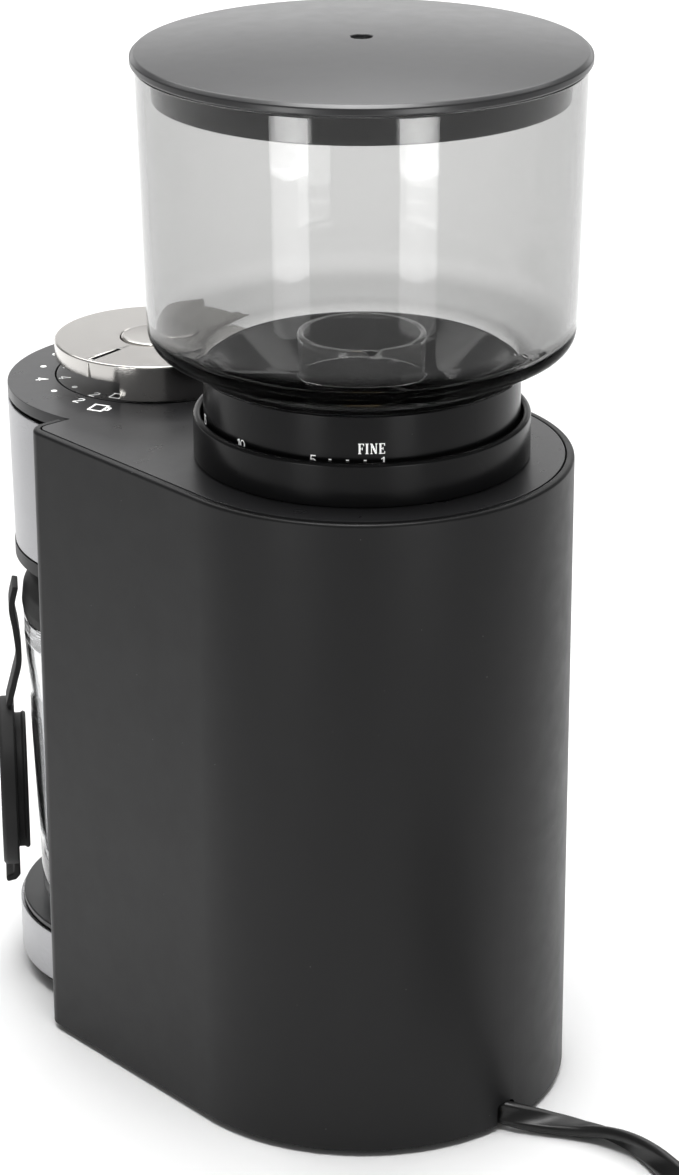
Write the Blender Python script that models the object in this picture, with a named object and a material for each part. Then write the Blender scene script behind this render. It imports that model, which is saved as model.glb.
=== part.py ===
"""Burr coffee grinder, built from separate pieces.

Metres, +Z up. The origin is on the standing surface, under the middle of the grinder. The front,
with the dial and the container, faces -Y. The hopper, the burrs and the adjusting ring share one
upright axis at y = HOPPER_Y; the container stands on its own axis at y = JAR_Y.
"""

from math import asin, cos, pi, radians, sin, sqrt

import bmesh
import bpy
from mathutils import Matrix, Vector

MM = 0.001
GAP = 0.3 * MM  # left between pieces that touch

# Driving dimensions
BODY_W = 105.0 * MM
BODY_R = BODY_W / 2
BODY_BOTTOM = 1.5 * MM
BODY_TOP = 169.6 * MM
WALL = 2.4 * MM
HOPPER_Y = 36.0 * MM  # upright axis of hopper, adjusting ring and burrs
FRONT_Y = HOPPER_Y - 69.0 * MM  # front faces of the body
JAR_Y = HOPPER_Y - 80.0 * MM  # upright axis of the container and its niche
HEAD_Y = HOPPER_Y - 78.0 * MM  # centre of the rounded control head
DIAL_Y = HOPPER_Y - 82.5 * MM
BASE_Y = HOPPER_Y - 80.5 * MM  # centre of the rounded front base
MOTOR_Y = HOPPER_Y + 22.0 * MM

OPENING = 42.6 * MM  # half of the body's open front
CORNER_R = 5.0 * MM
PANEL_T = 3.0 * MM
PANEL_RIM = 2.0 * MM
HEAD_R = 41.7 * MM
NICHE_R = 41.0 * MM
NICHE_WALL = 2.4 * MM
HEAD_BOTTOM = 122.2 * MM
BAND_LOW = 126.0 * MM  # metal band round the head
BAND_HIGH = 165.5 * MM
BASE_R = 42.0 * MM
BASE_LOW = 5.0 * MM
BASE_UNDER = 4.3 * MM  # lower edge of the front base
BASE_TOP = 19.2 * MM
CHAMBER_LOW = 127.5 * MM  # underside of the grinding chamber
DUCT_LOW = 130.5 * MM  # floor and roof of the way out of the chamber
DUCT_HIGH = 139.0 * MM
DUCT_HALF_W = 11.0 * MM

DIAL_R = 26.5 * MM
DIAL_TOP = 179.4 * MM
DIAL_DISC_T = 4.5 * MM
SKIRT_FROM = 31.5  # degrees, where the dial's full-height skirt starts
BUTTON_R = 9.0 * MM

GEAR_MODULE = 1.0 * MM
DRIVE_TEETH = 34
PINION_TEETH = 10

HANG_ANGLE = -35.0  # degrees round the container, where its lid hangs
STRAP_PIVOT_R = 40.8 * MM
STRAP_PIVOT_Z = 112.0 * MM

CORD_TUBE_R = 1.9 * MM  # plain tube in place of the flat twin cord, 6.4 mm wide
CORD_EXIT = Vector((-1.8 * MM, HOPPER_Y + 48.6 * MM, 4.4 * MM))
COIL_X = 8.5 * MM
COIL_Y = HOPPER_Y + 168.0 * MM
COIL_R = 32.5 * MM  # middle of the turns
COIL_HALF_W = 6.9 * MM
COIL_H = 10.3 * MM  # three layers of the cord

ROUND = 40  # sides of the large round pieces
SMALL = 16  # sides of the small round pieces


def clear_scene():
    for obj in list(bpy.data.objects):
        bpy.data.objects.remove(obj, do_unlink=True)


def material(name, colour, roughness, metallic=0.0, alpha=1.0):
    mat = bpy.data.materials.get(name) or bpy.data.materials.new(name)
    mat.use_nodes = True
    shader = mat.node_tree.nodes["Principled BSDF"]
    shader.inputs["Base Color"].default_value = (*colour, 1.0)
    shader.inputs["Roughness"].default_value = roughness
    shader.inputs["Metallic"].default_value = metallic
    shader.inputs["Alpha"].default_value = alpha
    return mat


LOOKS = {
    "black_plastic": ((0.025, 0.026, 0.028), 0.45, 0.0, 1.0),
    "gloss_black": ((0.012, 0.012, 0.013), 0.12, 0.0, 1.0),
    "panel_grey": ((0.035, 0.036, 0.038), 0.3, 0.0, 1.0),
    "smoke_clear": ((0.55, 0.56, 0.57), 0.05, 0.0, 0.35),
    "satin_nickel": ((0.72, 0.69, 0.64), 0.3, 1.0, 1.0),
    "brushed_steel": ((0.6, 0.6, 0.61), 0.35, 1.0, 1.0),
    "burr_steel": ((0.5, 0.5, 0.5), 0.4, 1.0, 1.0),
    "black_rubber": ((0.02, 0.02, 0.02), 0.8, 0.0, 1.0),
    "white_plastic": ((0.75, 0.75, 0.72), 0.4, 0.0, 1.0),
    "board_green": ((0.05, 0.2, 0.08), 0.5, 0.0, 1.0),
    "brass": ((0.75, 0.55, 0.25), 0.3, 1.0, 1.0),
}


def finish(obj, look, at=(0, 0, 0), turn=0.0):
    """Give an object its material, place and smooth shading."""
    colour, roughness, metallic, alpha = LOOKS[look]
    obj.data.materials.clear()
    obj.data.materials.append(material(look, colour, roughness, metallic, alpha))
    obj.location = at
    obj.rotation_euler = (0, 0, radians(turn))
    if obj.type == "MESH":
        obj.data.shade_smooth()
        obj.data.set_sharp_from_angle(angle=radians(30))
    return obj


def mesh_object(name, bm):
    bmesh.ops.recalc_face_normals(bm, faces=bm.faces)
    mesh = bpy.data.meshes.new(name)
    bm.to_mesh(mesh)
    bm.free()
    obj = bpy.data.objects.new(name, mesh)
    bpy.context.scene.collection.objects.link(obj)
    return obj


def turned(name, profile, steps=ROUND, start=0.0, sweep=360.0):
    """A solid of revolution: profile is a closed outline of (radius, height) points."""
    bm = bmesh.new()
    first = Matrix.Rotation(radians(start), 3, "Z")
    verts = [bm.verts.new(first @ Vector((r, 0, z))) for r, z in profile]
    full = sweep == 360.0
    if full:
        pairs = zip(verts, verts[1:] + verts[:1])
        geom = verts + [bm.edges.new(p) for p in pairs if any(v.co.xy.length > 1e-6 for v in p)]
    else:
        face = bm.faces.new(verts)
        geom = [face, *face.edges, *verts]
    bmesh.ops.spin(bm, geom=geom, axis=(0, 0, 1), cent=(0, 0, 0), angle=radians(sweep),
                   steps=steps, use_merge=full)
    bmesh.ops.remove_doubles(bm, verts=bm.verts, dist=1e-6)
    return mesh_object(name, bm)


def prism(name, outline, low, high):
    bm = bmesh.new()
    face = bm.faces.new([bm.verts.new((x, y, low)) for x, y in outline])
    made = bmesh.ops.extrude_face_region(bm, geom=[face])["geom"]
    top = [v for v in made if isinstance(v, bmesh.types.BMVert)]
    bmesh.ops.translate(bm, verts=top, vec=(0, 0, high - low))
    return mesh_object(name, bm)


def disc(radius, centre=(0, 0), steps=ROUND):
    angles = [2 * pi * i / steps for i in range(steps)]
    return [(centre[0] + radius * cos(a), centre[1] + radius * sin(a)) for a in angles]


def rectangle(x0, x1, y0, y1):
    return [(x0, y0), (x1, y0), (x1, y1), (x0, y1)]


def block(name, x0, x1, y0, y1, z0, z1):
    return prism(name, rectangle(x0, x1, y0, y1), z0, z1)


def body_outline(inset, bow_y=None, bow_r=0.0, steps=32):
    """The body's plan: half round behind, straight sides, rounded front corners.

    With bow_y, a round bow of radius bow_r about that point swells from its front.
    """
    r = BODY_R - inset
    front = FRONT_Y + inset
    corner = max(CORNER_R - inset, 0.6 * MM)
    rear = [(r * cos(pi * i / steps), HOPPER_Y + r * sin(pi * i / steps)) for i in range(steps + 1)]
    left = []
    for i in range(5):
        a = pi + pi / 2 * i / 4
        left.append((-r + corner + corner * cos(a), front + corner + corner * sin(a)))
    right = [(-x, y) for x, y in reversed(left)]
    bow = []
    if bow_y is not None:
        rise = asin((front - bow_y) / bow_r)
        for i in range(steps + 1):
            a = pi - rise + (pi + 2 * rise) * i / steps
            bow.append((bow_r * cos(a), bow_y + bow_r * sin(a)))
    return rear + left + bow + right


def combine(target, other, operation):
    """Join, cut or intersect target with other, and drop other."""
    modifier = target.modifiers.new("combine", "BOOLEAN")
    modifier.object = other
    modifier.operation = operation
    graph = bpy.context.evaluated_depsgraph_get()
    result = bpy.data.meshes.new_from_object(target.evaluated_get(graph))
    target.modifiers.clear()
    target.data = result
    bpy.data.objects.remove(other, do_unlink=True)
    return target


def join(target, *others):
    for other in others:
        combine(target, other, "UNION")
    return target


def cut(target, *others):
    for other in others:
        combine(target, other, "DIFFERENCE")
    return target


# ---------------------------------------------------------------- housing

POSTS = [(x * 36 * MM, HOPPER_Y + y * MM) for x in (-1, 1) for y in (-20, 20)]
BOSSES = [(x * 46.2 * MM, HOPPER_Y + y * MM) for x in (-1, 1) for y in (-50, 4)]
BOSS_R = 5.0 * MM
SCREW_R = 1.5 * MM


def make_body_shell():
    shell = prism("body_shell", body_outline(0), BODY_BOTTOM, BODY_TOP)
    cavity = prism("cavity", body_outline(WALL), BODY_BOTTOM - MM, BODY_TOP - 9 * MM)
    above = prism("above", body_outline(6 * MM), BODY_TOP - 10 * MM, BODY_TOP + MM)
    seat = prism("seat", body_outline(PANEL_RIM), BODY_TOP - PANEL_T - GAP, BODY_TOP + MM)
    front = block("front", -OPENING, OPENING, FRONT_Y - MM, FRONT_Y + 8 * MM, 0, BODY_TOP + MM)
    cut(shell, cavity, above, seat, front)
    for i, (x, y) in enumerate(BOSSES):
        join(shell, prism(f"boss_{i}", disc(BOSS_R, (x, y), 16), 5 * MM, 17 * MM))
        cut(shell, prism(f"pilot_{i}", disc(SCREW_R + GAP, (x, y), 12), 4 * MM, 14 * MM))
    notch = block("notch", -5.6 * MM, 0.4 * MM, HOPPER_Y + 45 * MM, HOPPER_Y + 56 * MM, 0, 7.4 * MM)
    return finish(cut(shell, notch), "black_plastic")


def make_front_frame():
    """Niche wall, control head and front base in one moulding, slid in from the front."""
    jar, head, base = (0, JAR_Y), (0, HEAD_Y), (0, BASE_Y)
    top = BODY_TOP - PANEL_T - GAP
    frame = prism("front_frame", disc(NICHE_R + NICHE_WALL, jar), 5 * MM, top)
    cut(frame, block("ahead", -60 * MM, 60 * MM, -150 * MM, FRONT_Y - 0.4 * MM, 0, 200 * MM))
    join(frame, prism("base", disc(BASE_R - 1.1 * MM, base), BASE_UNDER, BASE_TOP))
    join(frame, prism("base_lip", disc(BASE_R - 0.4 * MM, base), BASE_UNDER, BASE_LOW - GAP))
    join(frame, prism("head", disc(HEAD_R - 1.3 * MM, head), HEAD_BOTTOM, top))
    join(frame, prism("head_lip", disc(HEAD_R - 0.4 * MM, head), HEAD_BOTTOM, 125.7 * MM))
    cut(frame, prism("niche", disc(NICHE_R, jar), BASE_TOP, HEAD_BOTTOM))
    cut(frame, prism("under", disc(NICHE_R - 2.6 * MM, jar), 0, BASE_TOP - 2.5 * MM))
    cut(frame, block("heel", -60 * MM, 60 * MM, FRONT_Y + 2.1 * MM, HOPPER_Y, 0, 5 * MM))
    cut(frame, prism("inside", disc(38.0 * MM, (0, HEAD_Y - MM)), HEAD_BOTTOM + 2.5 * MM, 180 * MM))
    cut(frame, prism("outlet", disc(12.2 * MM, jar, SMALL), HEAD_BOTTOM - MM, HEAD_BOTTOM + 4 * MM))
    back = block("back", -13.6 * MM, 13.6 * MM, JAR_Y + 30 * MM, JAR_Y + 50 * MM, 127.5 * MM, 142 * MM)
    return finish(cut(frame, back), "black_plastic")


def make_top_panel():
    """Flush panel with the control head's plate in front of it."""
    low = BODY_TOP - PANEL_T
    panel = prism("top_panel", body_outline(PANEL_RIM + GAP, HEAD_Y, HEAD_R), low, BODY_TOP)
    for name, radius, y, steps in (
        ("burr_hole", 33.8 * MM, HOPPER_Y, ROUND),
        ("dial_hole", DIAL_R + 0.1 * MM, DIAL_Y, ROUND),
        ("plunger_hole", 1.6 * MM, HOPPER_Y + 38 * MM, 12),
    ):
        cut(panel, prism(name, disc(radius, (0, y), steps), low - MM, BODY_TOP + MM))
    return finish(panel, "panel_grey")


def make_bands():
    """Thin metal bands round the control head and the front base."""
    head_end = 11.6
    thick = 0.4 * MM
    lower_r = HEAD_R - 0.6 * MM  # the head narrows a little downwards
    profile = [(lower_r - thick, BAND_LOW), (lower_r, BAND_LOW), (HEAD_R, BAND_HIGH),
               (HEAD_R - 0.9 * MM, BAND_HIGH)]
    band = turned("head_band", profile, 32, head_end, -180 - 2 * head_end)
    finish(band, "brushed_steel", (0, HEAD_Y, 0))
    base_end = 14.9
    inner = BASE_R - 0.8 * MM
    profile = [(inner, BASE_LOW), (BASE_R, BASE_LOW), (BASE_R, BASE_TOP), (inner, BASE_TOP)]
    band = turned("base_band", profile, 32, base_end, -180 - 2 * base_end)
    finish(band, "brushed_steel", (0, BASE_Y, 0))


def make_platform():
    """Dark mat that the container stands on: wider in front than inside the niche."""
    outline = []
    for x, y in disc(1.0):
        wide = JAR_Y + 41.4 * MM * y < FRONT_Y - 1.5 * MM
        radius = 41.4 * MM if wide else 40.6 * MM
        outline.append((radius * x, radius * y))
    mat = prism("platform_mat", outline, BASE_TOP + GAP, BASE_TOP + 2.0 * MM)
    finish(mat, "panel_grey", (0, JAR_Y, 0))


def make_base_plate():
    """Bottom cover with the posts that carry the motor mount."""
    low, high = 2.1 * MM, 4.6 * MM
    plate = prism("base_plate", body_outline(WALL + GAP, JAR_Y, 38.0 * MM), low, high)
    for i, post in enumerate(POSTS):
        join(plate, prism(f"post_{i}", disc(3.2 * MM, post, 10), high - MM, 95.2 * MM))
    for i, boss in enumerate(BOSSES):
        cut(plate, prism(f"hole_{i}", disc(SCREW_R + GAP, boss, 12), 0, 10 * MM))
        cut(plate, prism(f"sink_{i}", disc(3.3 * MM, boss, 16), 0, low + 1.4 * MM))
    slot = block("slot", -6.2 * MM, 2.6 * MM, HOPPER_Y + 24 * MM, HOPPER_Y + 56 * MM, 0, 10 * MM)
    finish(cut(plate, slot), "black_plastic")
    for i, (x, y) in enumerate(BOSSES):
        head = low + 1.1 * MM
        screw = [(0, low + GAP), (3.0 * MM, low + GAP), (3.0 * MM, head), (SCREW_R, head),
                 (SCREW_R, 13 * MM), (0, 13.4 * MM)]
        finish(turned(f"base_screw_{i + 1}", screw, 12), "brushed_steel", (x, y, 0))


def make_feet():
    places = [(-34, 24), (34, 24), (-26, -100), (26, -100)]
    for i, (x, y) in enumerate(places):
        pad = [(0, 0), (5.2 * MM, 0), (5.5 * MM, 0.5 * MM), (5.5 * MM, 1.8 * MM), (0, 1.8 * MM)]
        foot = turned(f"foot_{i + 1}", pad, SMALL)
        finish(foot, "black_rubber", (x * MM, HOPPER_Y + y * MM, 0))


# ---------------------------------------------------------------- controls


def make_dial():
    disc_low = DIAL_TOP - DIAL_DISC_T
    hole = BUTTON_R + 0.35 * MM
    edge = 0.5 * MM
    profile = [(hole, disc_low), (DIAL_R, disc_low), (DIAL_R, DIAL_TOP - edge),
               (DIAL_R - edge, DIAL_TOP), (hole, DIAL_TOP)]
    dial = turned("dial", profile)
    inner = DIAL_R - 2.6 * MM
    low = BODY_TOP + 0.4 * MM
    skirt = [(inner, low), (DIAL_R, low), (DIAL_R, disc_low + MM), (inner, disc_low + MM)]
    join(dial, turned("skirt", skirt, ROUND // 2, SKIRT_FROM, 180.0))
    finish(dial, "satin_nickel", (0, DIAL_Y, 0))
    flange = disc_low - GAP
    shaft = [(2.9 * MM, 152.5 * MM), (4.5 * MM, 152.5 * MM), (4.5 * MM, flange - 2.1 * MM),
             (12 * MM, flange - 2.1 * MM), (12 * MM, flange), (2.9 * MM, flange)]
    finish(turned("dial_shaft", shaft, SMALL), "black_plastic", (0, DIAL_Y, 0))


def make_start_button():
    under = 175.6 * MM
    stem = [(0, 150.6 * MM), (2.4 * MM, 150.6 * MM), (2.4 * MM, under), (BUTTON_R, under),
            (BUTTON_R, DIAL_TOP + 0.1 * MM), (BUTTON_R - 0.5 * MM, DIAL_TOP + 0.5 * MM),
            (0, DIAL_TOP + 0.5 * MM)]
    finish(turned("start_button", stem, 32), "satin_nickel", (0, DIAL_Y, 0))


def make_dial_fittings():
    label = [(5.2 * MM, BODY_TOP - 2.6 * MM), (DIAL_R - 0.3 * MM, BODY_TOP - 2.6 * MM),
             (DIAL_R - 0.3 * MM, BODY_TOP), (5.2 * MM, BODY_TOP)]
    finish(turned("label_disc", label), "panel_grey", (0, DIAL_Y, 0))
    switch = [(4.9 * MM, 151.5 * MM), (14 * MM, 151.5 * MM), (14 * MM, 161.5 * MM),
              (7 * MM, 161.5 * MM), (7 * MM, 166.4 * MM), (4.9 * MM, 166.4 * MM)]
    finish(turned("rotary_switch", switch, SMALL), "black_plastic", (0, DIAL_Y, 0))
    side = 5 * MM
    small = block("start_switch", -side, side, -side, side, 146.4 * MM, 149.5 * MM)
    finish(small, "black_plastic", (0, DIAL_Y, 0))
    back = HOPPER_Y - 56 * MM
    board = block("control_board", -26 * MM, 26 * MM, back - 46 * MM, back, 144.5 * MM, 146.1 * MM)
    finish(board, "board_green")


# ---------------------------------------------------------------- hopper and burrs


def on_axis(name, profile, look, steps=ROUND):
    """A piece turned about the hopper's axis; profile in millimetres."""
    obj = turned(name, [(r * MM, z * MM) for r, z in profile], steps)
    return finish(obj, look, (0, HOPPER_Y, 0))


def make_hopper():
    on_axis("hopper", [
        (38.6, 192.1), (40.6, 192.1), (42.4, 195.2), (50.6, 199.9), (52.1, 201.6), (52.56, 204.0),
        (54.1, 267.4), (52.2, 267.4), (50.5, 205.0), (49.7, 202.8), (41.5, 198.0), (38.6, 196.4)],
        "smoke_clear")


def make_lid():
    on_axis("hopper_lid", [
        (2.6, 273.4), (20, 273.1), (40, 272.0), (54.3, 270.4), (55.14, 269.4), (55.14, 268.2),
        (54.6, 267.7), (50.45, 267.7), (50.2, 260.0), (48.4, 260.0), (48.4, 267.0), (20, 270.6),
        (2.6, 271.1)], "panel_grey")


def make_rings():
    on_axis("collar", [(39.6, 169.9), (41.6, 169.9), (41.6, 180.1), (41.1, 180.75), (40.1, 180.75),
                       (39.6, 180.1)], "black_plastic")
    on_axis("adjusting_ring", [(36.6, 170.0), (39.05, 170.0), (39.05, 191.2), (38.5, 191.8),
                               (36.6, 191.8)], "black_plastic")


def make_burr_carrier():
    """Funnel under the hopper that holds the upper burr, with three ribs across it."""
    carrier = on_axis("upper_burr_carrier", [
        (33.0, 151.5), (33.0, 170.2), (36.0, 170.6), (36.0, 192.2), (37.75, 192.2), (37.75, 193.9),
        (36.4, 193.9), (20.0, 180.5), (15.8, 175.5), (15.8, 165.0), (27.6, 165.0), (27.6, 151.5)],
        "gloss_black")
    for i in range(3):
        rib = block("rib", 13.0 * MM, 33.0 * MM, -1.0 * MM, 1.0 * MM, 178 * MM, 190.4 * MM)
        rib.data.transform(Matrix.Rotation(radians(75 + 120 * i), 4, "Z"))
        rib.location = (0, HOPPER_Y, 0)
        bpy.context.view_layer.update()
        join(carrier, rib)
    finish(carrier, "gloss_black", (0, HOPPER_Y, 0))
    on_axis("bean_guard", [(14.4, 190.8), (15.4, 190.8), (15.9, 199.8), (15.6, 200.5),
                           (14.6, 200.5), (14.2, 199.8)], "smoke_clear", 32)


def toothed_ring(name, smooth_r, bottom, top, low, high, teeth, depth, twist):
    """A ring with one smooth wall and one cut into slanting teeth that narrows upwards."""
    bm = bmesh.new()
    sides, levels = 2 * teeth, 3
    rings = []
    for level in range(levels):
        share = level / (levels - 1)
        z = low + (high - low) * share
        ring = []
        for i in range(sides):
            a = 2 * pi * i / sides + radians(twist) * share
            r = bottom + (top - bottom) * share - (depth if i % 2 else 0)
            ring.append(bm.verts.new((r * cos(a), r * sin(a), z)))
        rings.append(ring)
    for z, turn in ((high, radians(twist)), (low, 0.0)):
        angles = [2 * pi * i / sides + turn for i in range(sides)]
        rings.append([bm.verts.new((smooth_r * cos(a), smooth_r * sin(a), z)) for a in angles])
    for a, b in zip(rings, rings[1:] + rings[:1]):
        for i in range(sides):
            j = (i + 1) % sides
            bm.faces.new((a[i], a[j], b[j], b[i]))
    return finish(mesh_object(name, bm), "burr_steel", (0, HOPPER_Y, 0))


def make_burrs():
    toothed_ring("lower_burr", 3.4 * MM, 20.5 * MM, 11.0 * MM, 141.3 * MM, 167.0 * MM, 14, 1.6 * MM, 40)
    toothed_ring("upper_burr", 27.3 * MM, 21.4 * MM, 14.6 * MM, 145.5 * MM, 164.7 * MM, 18, -1.4 * MM,
                 -20)


def make_shaft():
    on_axis("burr_shaft", [(0, 97.0), (3.0, 97.0), (3.0, 169.8), (0, 170.0)], "brushed_steel", 16)
    nut = prism("burr_nut", disc(6.0 * MM, steps=6), 167.3 * MM, 171.0 * MM)
    cut(nut, prism("thread", disc(3.3 * MM, steps=12), 160 * MM, 180 * MM))
    finish(nut, "brass", (0, HOPPER_Y, 0))
    for name, low in (("shaft_bearing_lower", 96.3), ("shaft_bearing_upper", 119.9)):
        on_axis(name, [(3.4, low), (8.0, low), (8.0, low + 4), (3.4, low + 4)], "brushed_steel", 20)


def make_impeller():
    """Sweeps the grounds round the chamber to the outlet."""
    wheel = on_axis("impeller", [(3.4, 130.6), (31.5, 130.6), (31.5, 132.4), (7.0, 132.4),
                                 (7.0, 141.0), (3.4, 141.0)], "white_plastic", 36)
    for i in range(4):
        paddle = block("paddle", 5.0 * MM, 30.5 * MM, -0.9 * MM, 0.9 * MM, 132 * MM, 137.5 * MM)
        paddle.data.transform(Matrix.Rotation(radians(90 * i), 4, "Z"))
        paddle.location = (0, HOPPER_Y, 0)
        bpy.context.view_layer.update()
        join(wheel, paddle)
    finish(wheel, "white_plastic", (0, HOPPER_Y, 0))


def make_chamber():
    low = CHAMBER_LOW / MM
    chamber = on_axis("grinding_chamber", [(4.2, low), (35.0, low), (35.0, 163.5), (33.4, 163.5),
                                           (33.4, low + 2.5), (4.2, low + 2.5)], "white_plastic")
    opening = block("opening", -DUCT_HALF_W, DUCT_HALF_W, -40 * MM, -30 * MM, DUCT_LOW, DUCT_HIGH)
    opening.location = (0, HOPPER_Y, 0)
    bpy.context.view_layer.update()
    finish(cut(chamber, opening), "white_plastic", (0, HOPPER_Y, 0))
    on_axis("chamber_gasket", [(33.9, 163.8), (35.0, 163.8), (35.0, 166.3), (33.9, 166.3)],
            "black_rubber")


def make_chute():
    """Duct from the chamber forward over the container, with a round spout down."""
    near, far = HOPPER_Y - 35.6 * MM, JAR_Y - 13 * MM
    chute = block("outlet_chute", -13 * MM, 13 * MM, far, near, 128.3 * MM, 141.2 * MM)
    join(chute, prism("spout", disc(11.5 * MM, (0, JAR_Y), SMALL), 119.5 * MM, 130 * MM))
    cut(chute, block("duct", -DUCT_HALF_W, DUCT_HALF_W, far + 2 * MM, near + MM, DUCT_LOW, DUCT_HIGH))
    cut(chute, prism("drop", disc(9.5 * MM, (0, JAR_Y), SMALL), 118 * MM, 132 * MM))
    finish(chute, "white_plastic")


# ---------------------------------------------------------------- drive


def gear_outline(teeth, phase):
    """Straight-sided teeth, thinned for running clearance."""
    pitch_r = GEAR_MODULE * teeth / 2
    tip, root = pitch_r + 0.8 * GEAR_MODULE, pitch_r - 1.15 * GEAR_MODULE
    step = 2 * pi / teeth
    outline = []
    for i in range(teeth):
        a = phase + i * step
        for radius, share in ((root, -0.3), (tip, -0.11), (tip, 0.11), (root, 0.3)):
            outline.append((radius * cos(a + share * step), radius * sin(a + share * step)))
    return outline


def make_gears():
    gear = prism("drive_gear", gear_outline(DRIVE_TEETH, pi / 2), 105.5 * MM, 111.5 * MM)
    cut(gear, prism("bore", disc(3.3 * MM, steps=16), 100 * MM, 120 * MM))
    finish(gear, "white_plastic", (0, HOPPER_Y, 0))
    half_tooth = pi / PINION_TEETH
    pinion = prism("motor_pinion", gear_outline(PINION_TEETH, -pi / 2 + half_tooth), 104 * MM, 113 * MM)
    cut(pinion, prism("bore", disc(1.9 * MM, steps=12), 100 * MM, 120 * MM))
    finish(pinion, "brass", (0, MOTOR_Y, 0))


def make_gear_plates():
    """Motor mount below the gears, and the cover above them standing on three legs."""
    outline = [(x, y) for x, y in body_outline(5 * MM) if y > HOPPER_Y - 28 * MM]
    front = HOPPER_Y - 28 * MM
    side = BODY_R - 5 * MM
    outline += [(-side, front), (side, front)]
    mount = prism("motor_mount", outline, 95.5 * MM, 98.5 * MM)
    cut(mount, prism("shaft_hole", disc(3.2 * MM, (0, MOTOR_Y), 16), 90 * MM, 100 * MM))
    cut(mount, prism("bearing_seat", disc(8.3 * MM, (0, HOPPER_Y), 20), 90 * MM, 100 * MM))
    finish(mount, "brushed_steel")
    cover = prism("gearbox_cover", disc(30 * MM, (0, HOPPER_Y + 6 * MM), 40), 119 * MM, 122 * MM)
    for i in range(3):
        a = radians(90 + 120 * i)
        leg = (26 * MM * cos(a), HOPPER_Y + 6 * MM + 26 * MM * sin(a))
        join(cover, prism(f"leg_{i}", disc(2.6 * MM, leg, 10), 98.8 * MM, 120 * MM))
    cut(cover, prism("bearing_seat", disc(8.3 * MM, (0, HOPPER_Y), 20), 110 * MM, 130 * MM))
    finish(cover, "white_plastic")


def make_motor():
    def piece(name, profile, look, steps=24):
        obj = turned(name, [(r * MM, z * MM) for r, z in profile], steps)
        return finish(obj, look, (0, MOTOR_Y, 0))

    piece("motor_can", [(2.6, 95.2), (2.6, 93.2), (22.2, 93.2), (22.2, 30.5), (24.0, 30.5),
                        (24.0, 93.5), (22.4, 95.2)], "brushed_steel")
    piece("motor_end_cap", [(2.2, 27.0), (22.0, 27.0), (24.0, 28.5), (24.0, 30.2), (21.8, 30.2),
                            (21.8, 33.0), (2.2, 33.0)], "white_plastic")
    piece("motor_rotor", [(0, 24.0), (1.6, 24.0), (1.6, 40.0), (14.0, 40.0), (14.0, 86.0),
                          (1.6, 86.0), (1.6, 112.5), (0, 112.5)], "brushed_steel", 24)


def make_electrics():
    board = block("power_board", 43 * MM, 44.6 * MM, HOPPER_Y - 18 * MM, HOPPER_Y + 6 * MM, 24 * MM,
                  74 * MM)
    finish(board, "board_green")
    y = HOPPER_Y + 38 * MM
    switch = block("hopper_switch", -10 * MM, 10 * MM, y - 3 * MM, y + 3 * MM, 146 * MM, 157.5 * MM)
    cut(switch, prism("well", disc(1.6 * MM, (0, y), 12), 152 * MM, 160 * MM))
    finish(switch, "black_plastic")
    pin = [(0, 154.0 * MM), (1.2 * MM, 154.0 * MM), (1.2 * MM, 169.7 * MM), (0, 169.7 * MM)]
    finish(turned("switch_plunger", pin, 12), "white_plastic", (0, y, 0))


# ---------------------------------------------------------------- container


def make_container():
    def piece(name, profile, look):
        obj = turned(name, [(r * MM, z * MM) for r, z in profile])
        return finish(obj, look, (0, JAR_Y, 0))

    piece("container", [
        (0, 21.7), (34.5, 21.7), (36.0, 23.2), (37.9, 78.5), (38.7, 98.5), (38.7, 104.2),
        (35.7, 104.2), (35.7, 113.5), (33.5, 113.5), (33.5, 102.5), (36.4, 97.5), (35.0, 39.5),
        (33.6, 26.0), (0, 25.4)], "smoke_clear")
    piece("container_ring", [
        (36.0, 104.5), (38.6, 104.5), (39.0, 107.5), (38.5, 112.0), (36.4, 116.0), (33.8, 116.6),
        (33.8, 113.8), (36.0, 113.8)], "black_rubber")


def hanging(obj):
    """Stand a piece, modelled with +X pointing away from the container, at the strap's pivot."""
    a = radians(HANG_ANGLE)
    at = (STRAP_PIVOT_R * cos(a), JAR_Y + STRAP_PIVOT_R * sin(a), STRAP_PIVOT_Z)
    return finish(obj, "black_rubber", at, HANG_ANGLE)


def make_container_lid():
    """Lid that hangs edge-on: a disc with a plug ring towards the container and a pull tab."""
    disc_in = 42.2 * MM - STRAP_PIVOT_R
    disc_out = 46.6 * MM - STRAP_PIVOT_R
    plug = 39.2 * MM - STRAP_PIVOT_R
    drop = 54.5 * MM - STRAP_PIVOT_Z
    lid_r, plug_r = 23.0 * MM, 18.3 * MM
    lid = turned("container_lid", [
        (0, disc_in), (plug_r - 2.6 * MM, disc_in), (plug_r - 2.6 * MM, plug), (plug_r, plug),
        (plug_r + 0.5 * MM, plug + 0.7 * MM), (plug_r, plug + 1.4 * MM), (plug_r, disc_in),
        (lid_r - 0.4 * MM, disc_in), (lid_r, disc_in + 0.5 * MM), (lid_r, disc_out - MM),
        (lid_r - MM, disc_out), (0, disc_out)], 32)
    lid.data.transform(Matrix.Translation((0, 0, drop)) @ Matrix.Rotation(pi / 2, 4, "Y"))
    tab = [(disc_in, drop - lid_r + 3 * MM), (disc_in + 1.8 * MM, drop - lid_r + 3 * MM),
           (disc_in + 1.8 * MM, drop - lid_r - 2.6 * MM), (disc_out - 0.4 * MM, drop - lid_r - 3.4 * MM),
           (disc_out - 0.6 * MM, drop - lid_r - 5.2 * MM), (disc_in + 1.2 * MM, drop - lid_r - 4.6 * MM),
           (disc_in, drop - lid_r - 3.2 * MM)]
    tab = prism("tab", tab, -6 * MM, 6 * MM)
    tab.data.transform(Matrix.Rotation(pi / 2, 4, "X"))
    hanging(join(lid, tab))


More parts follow.
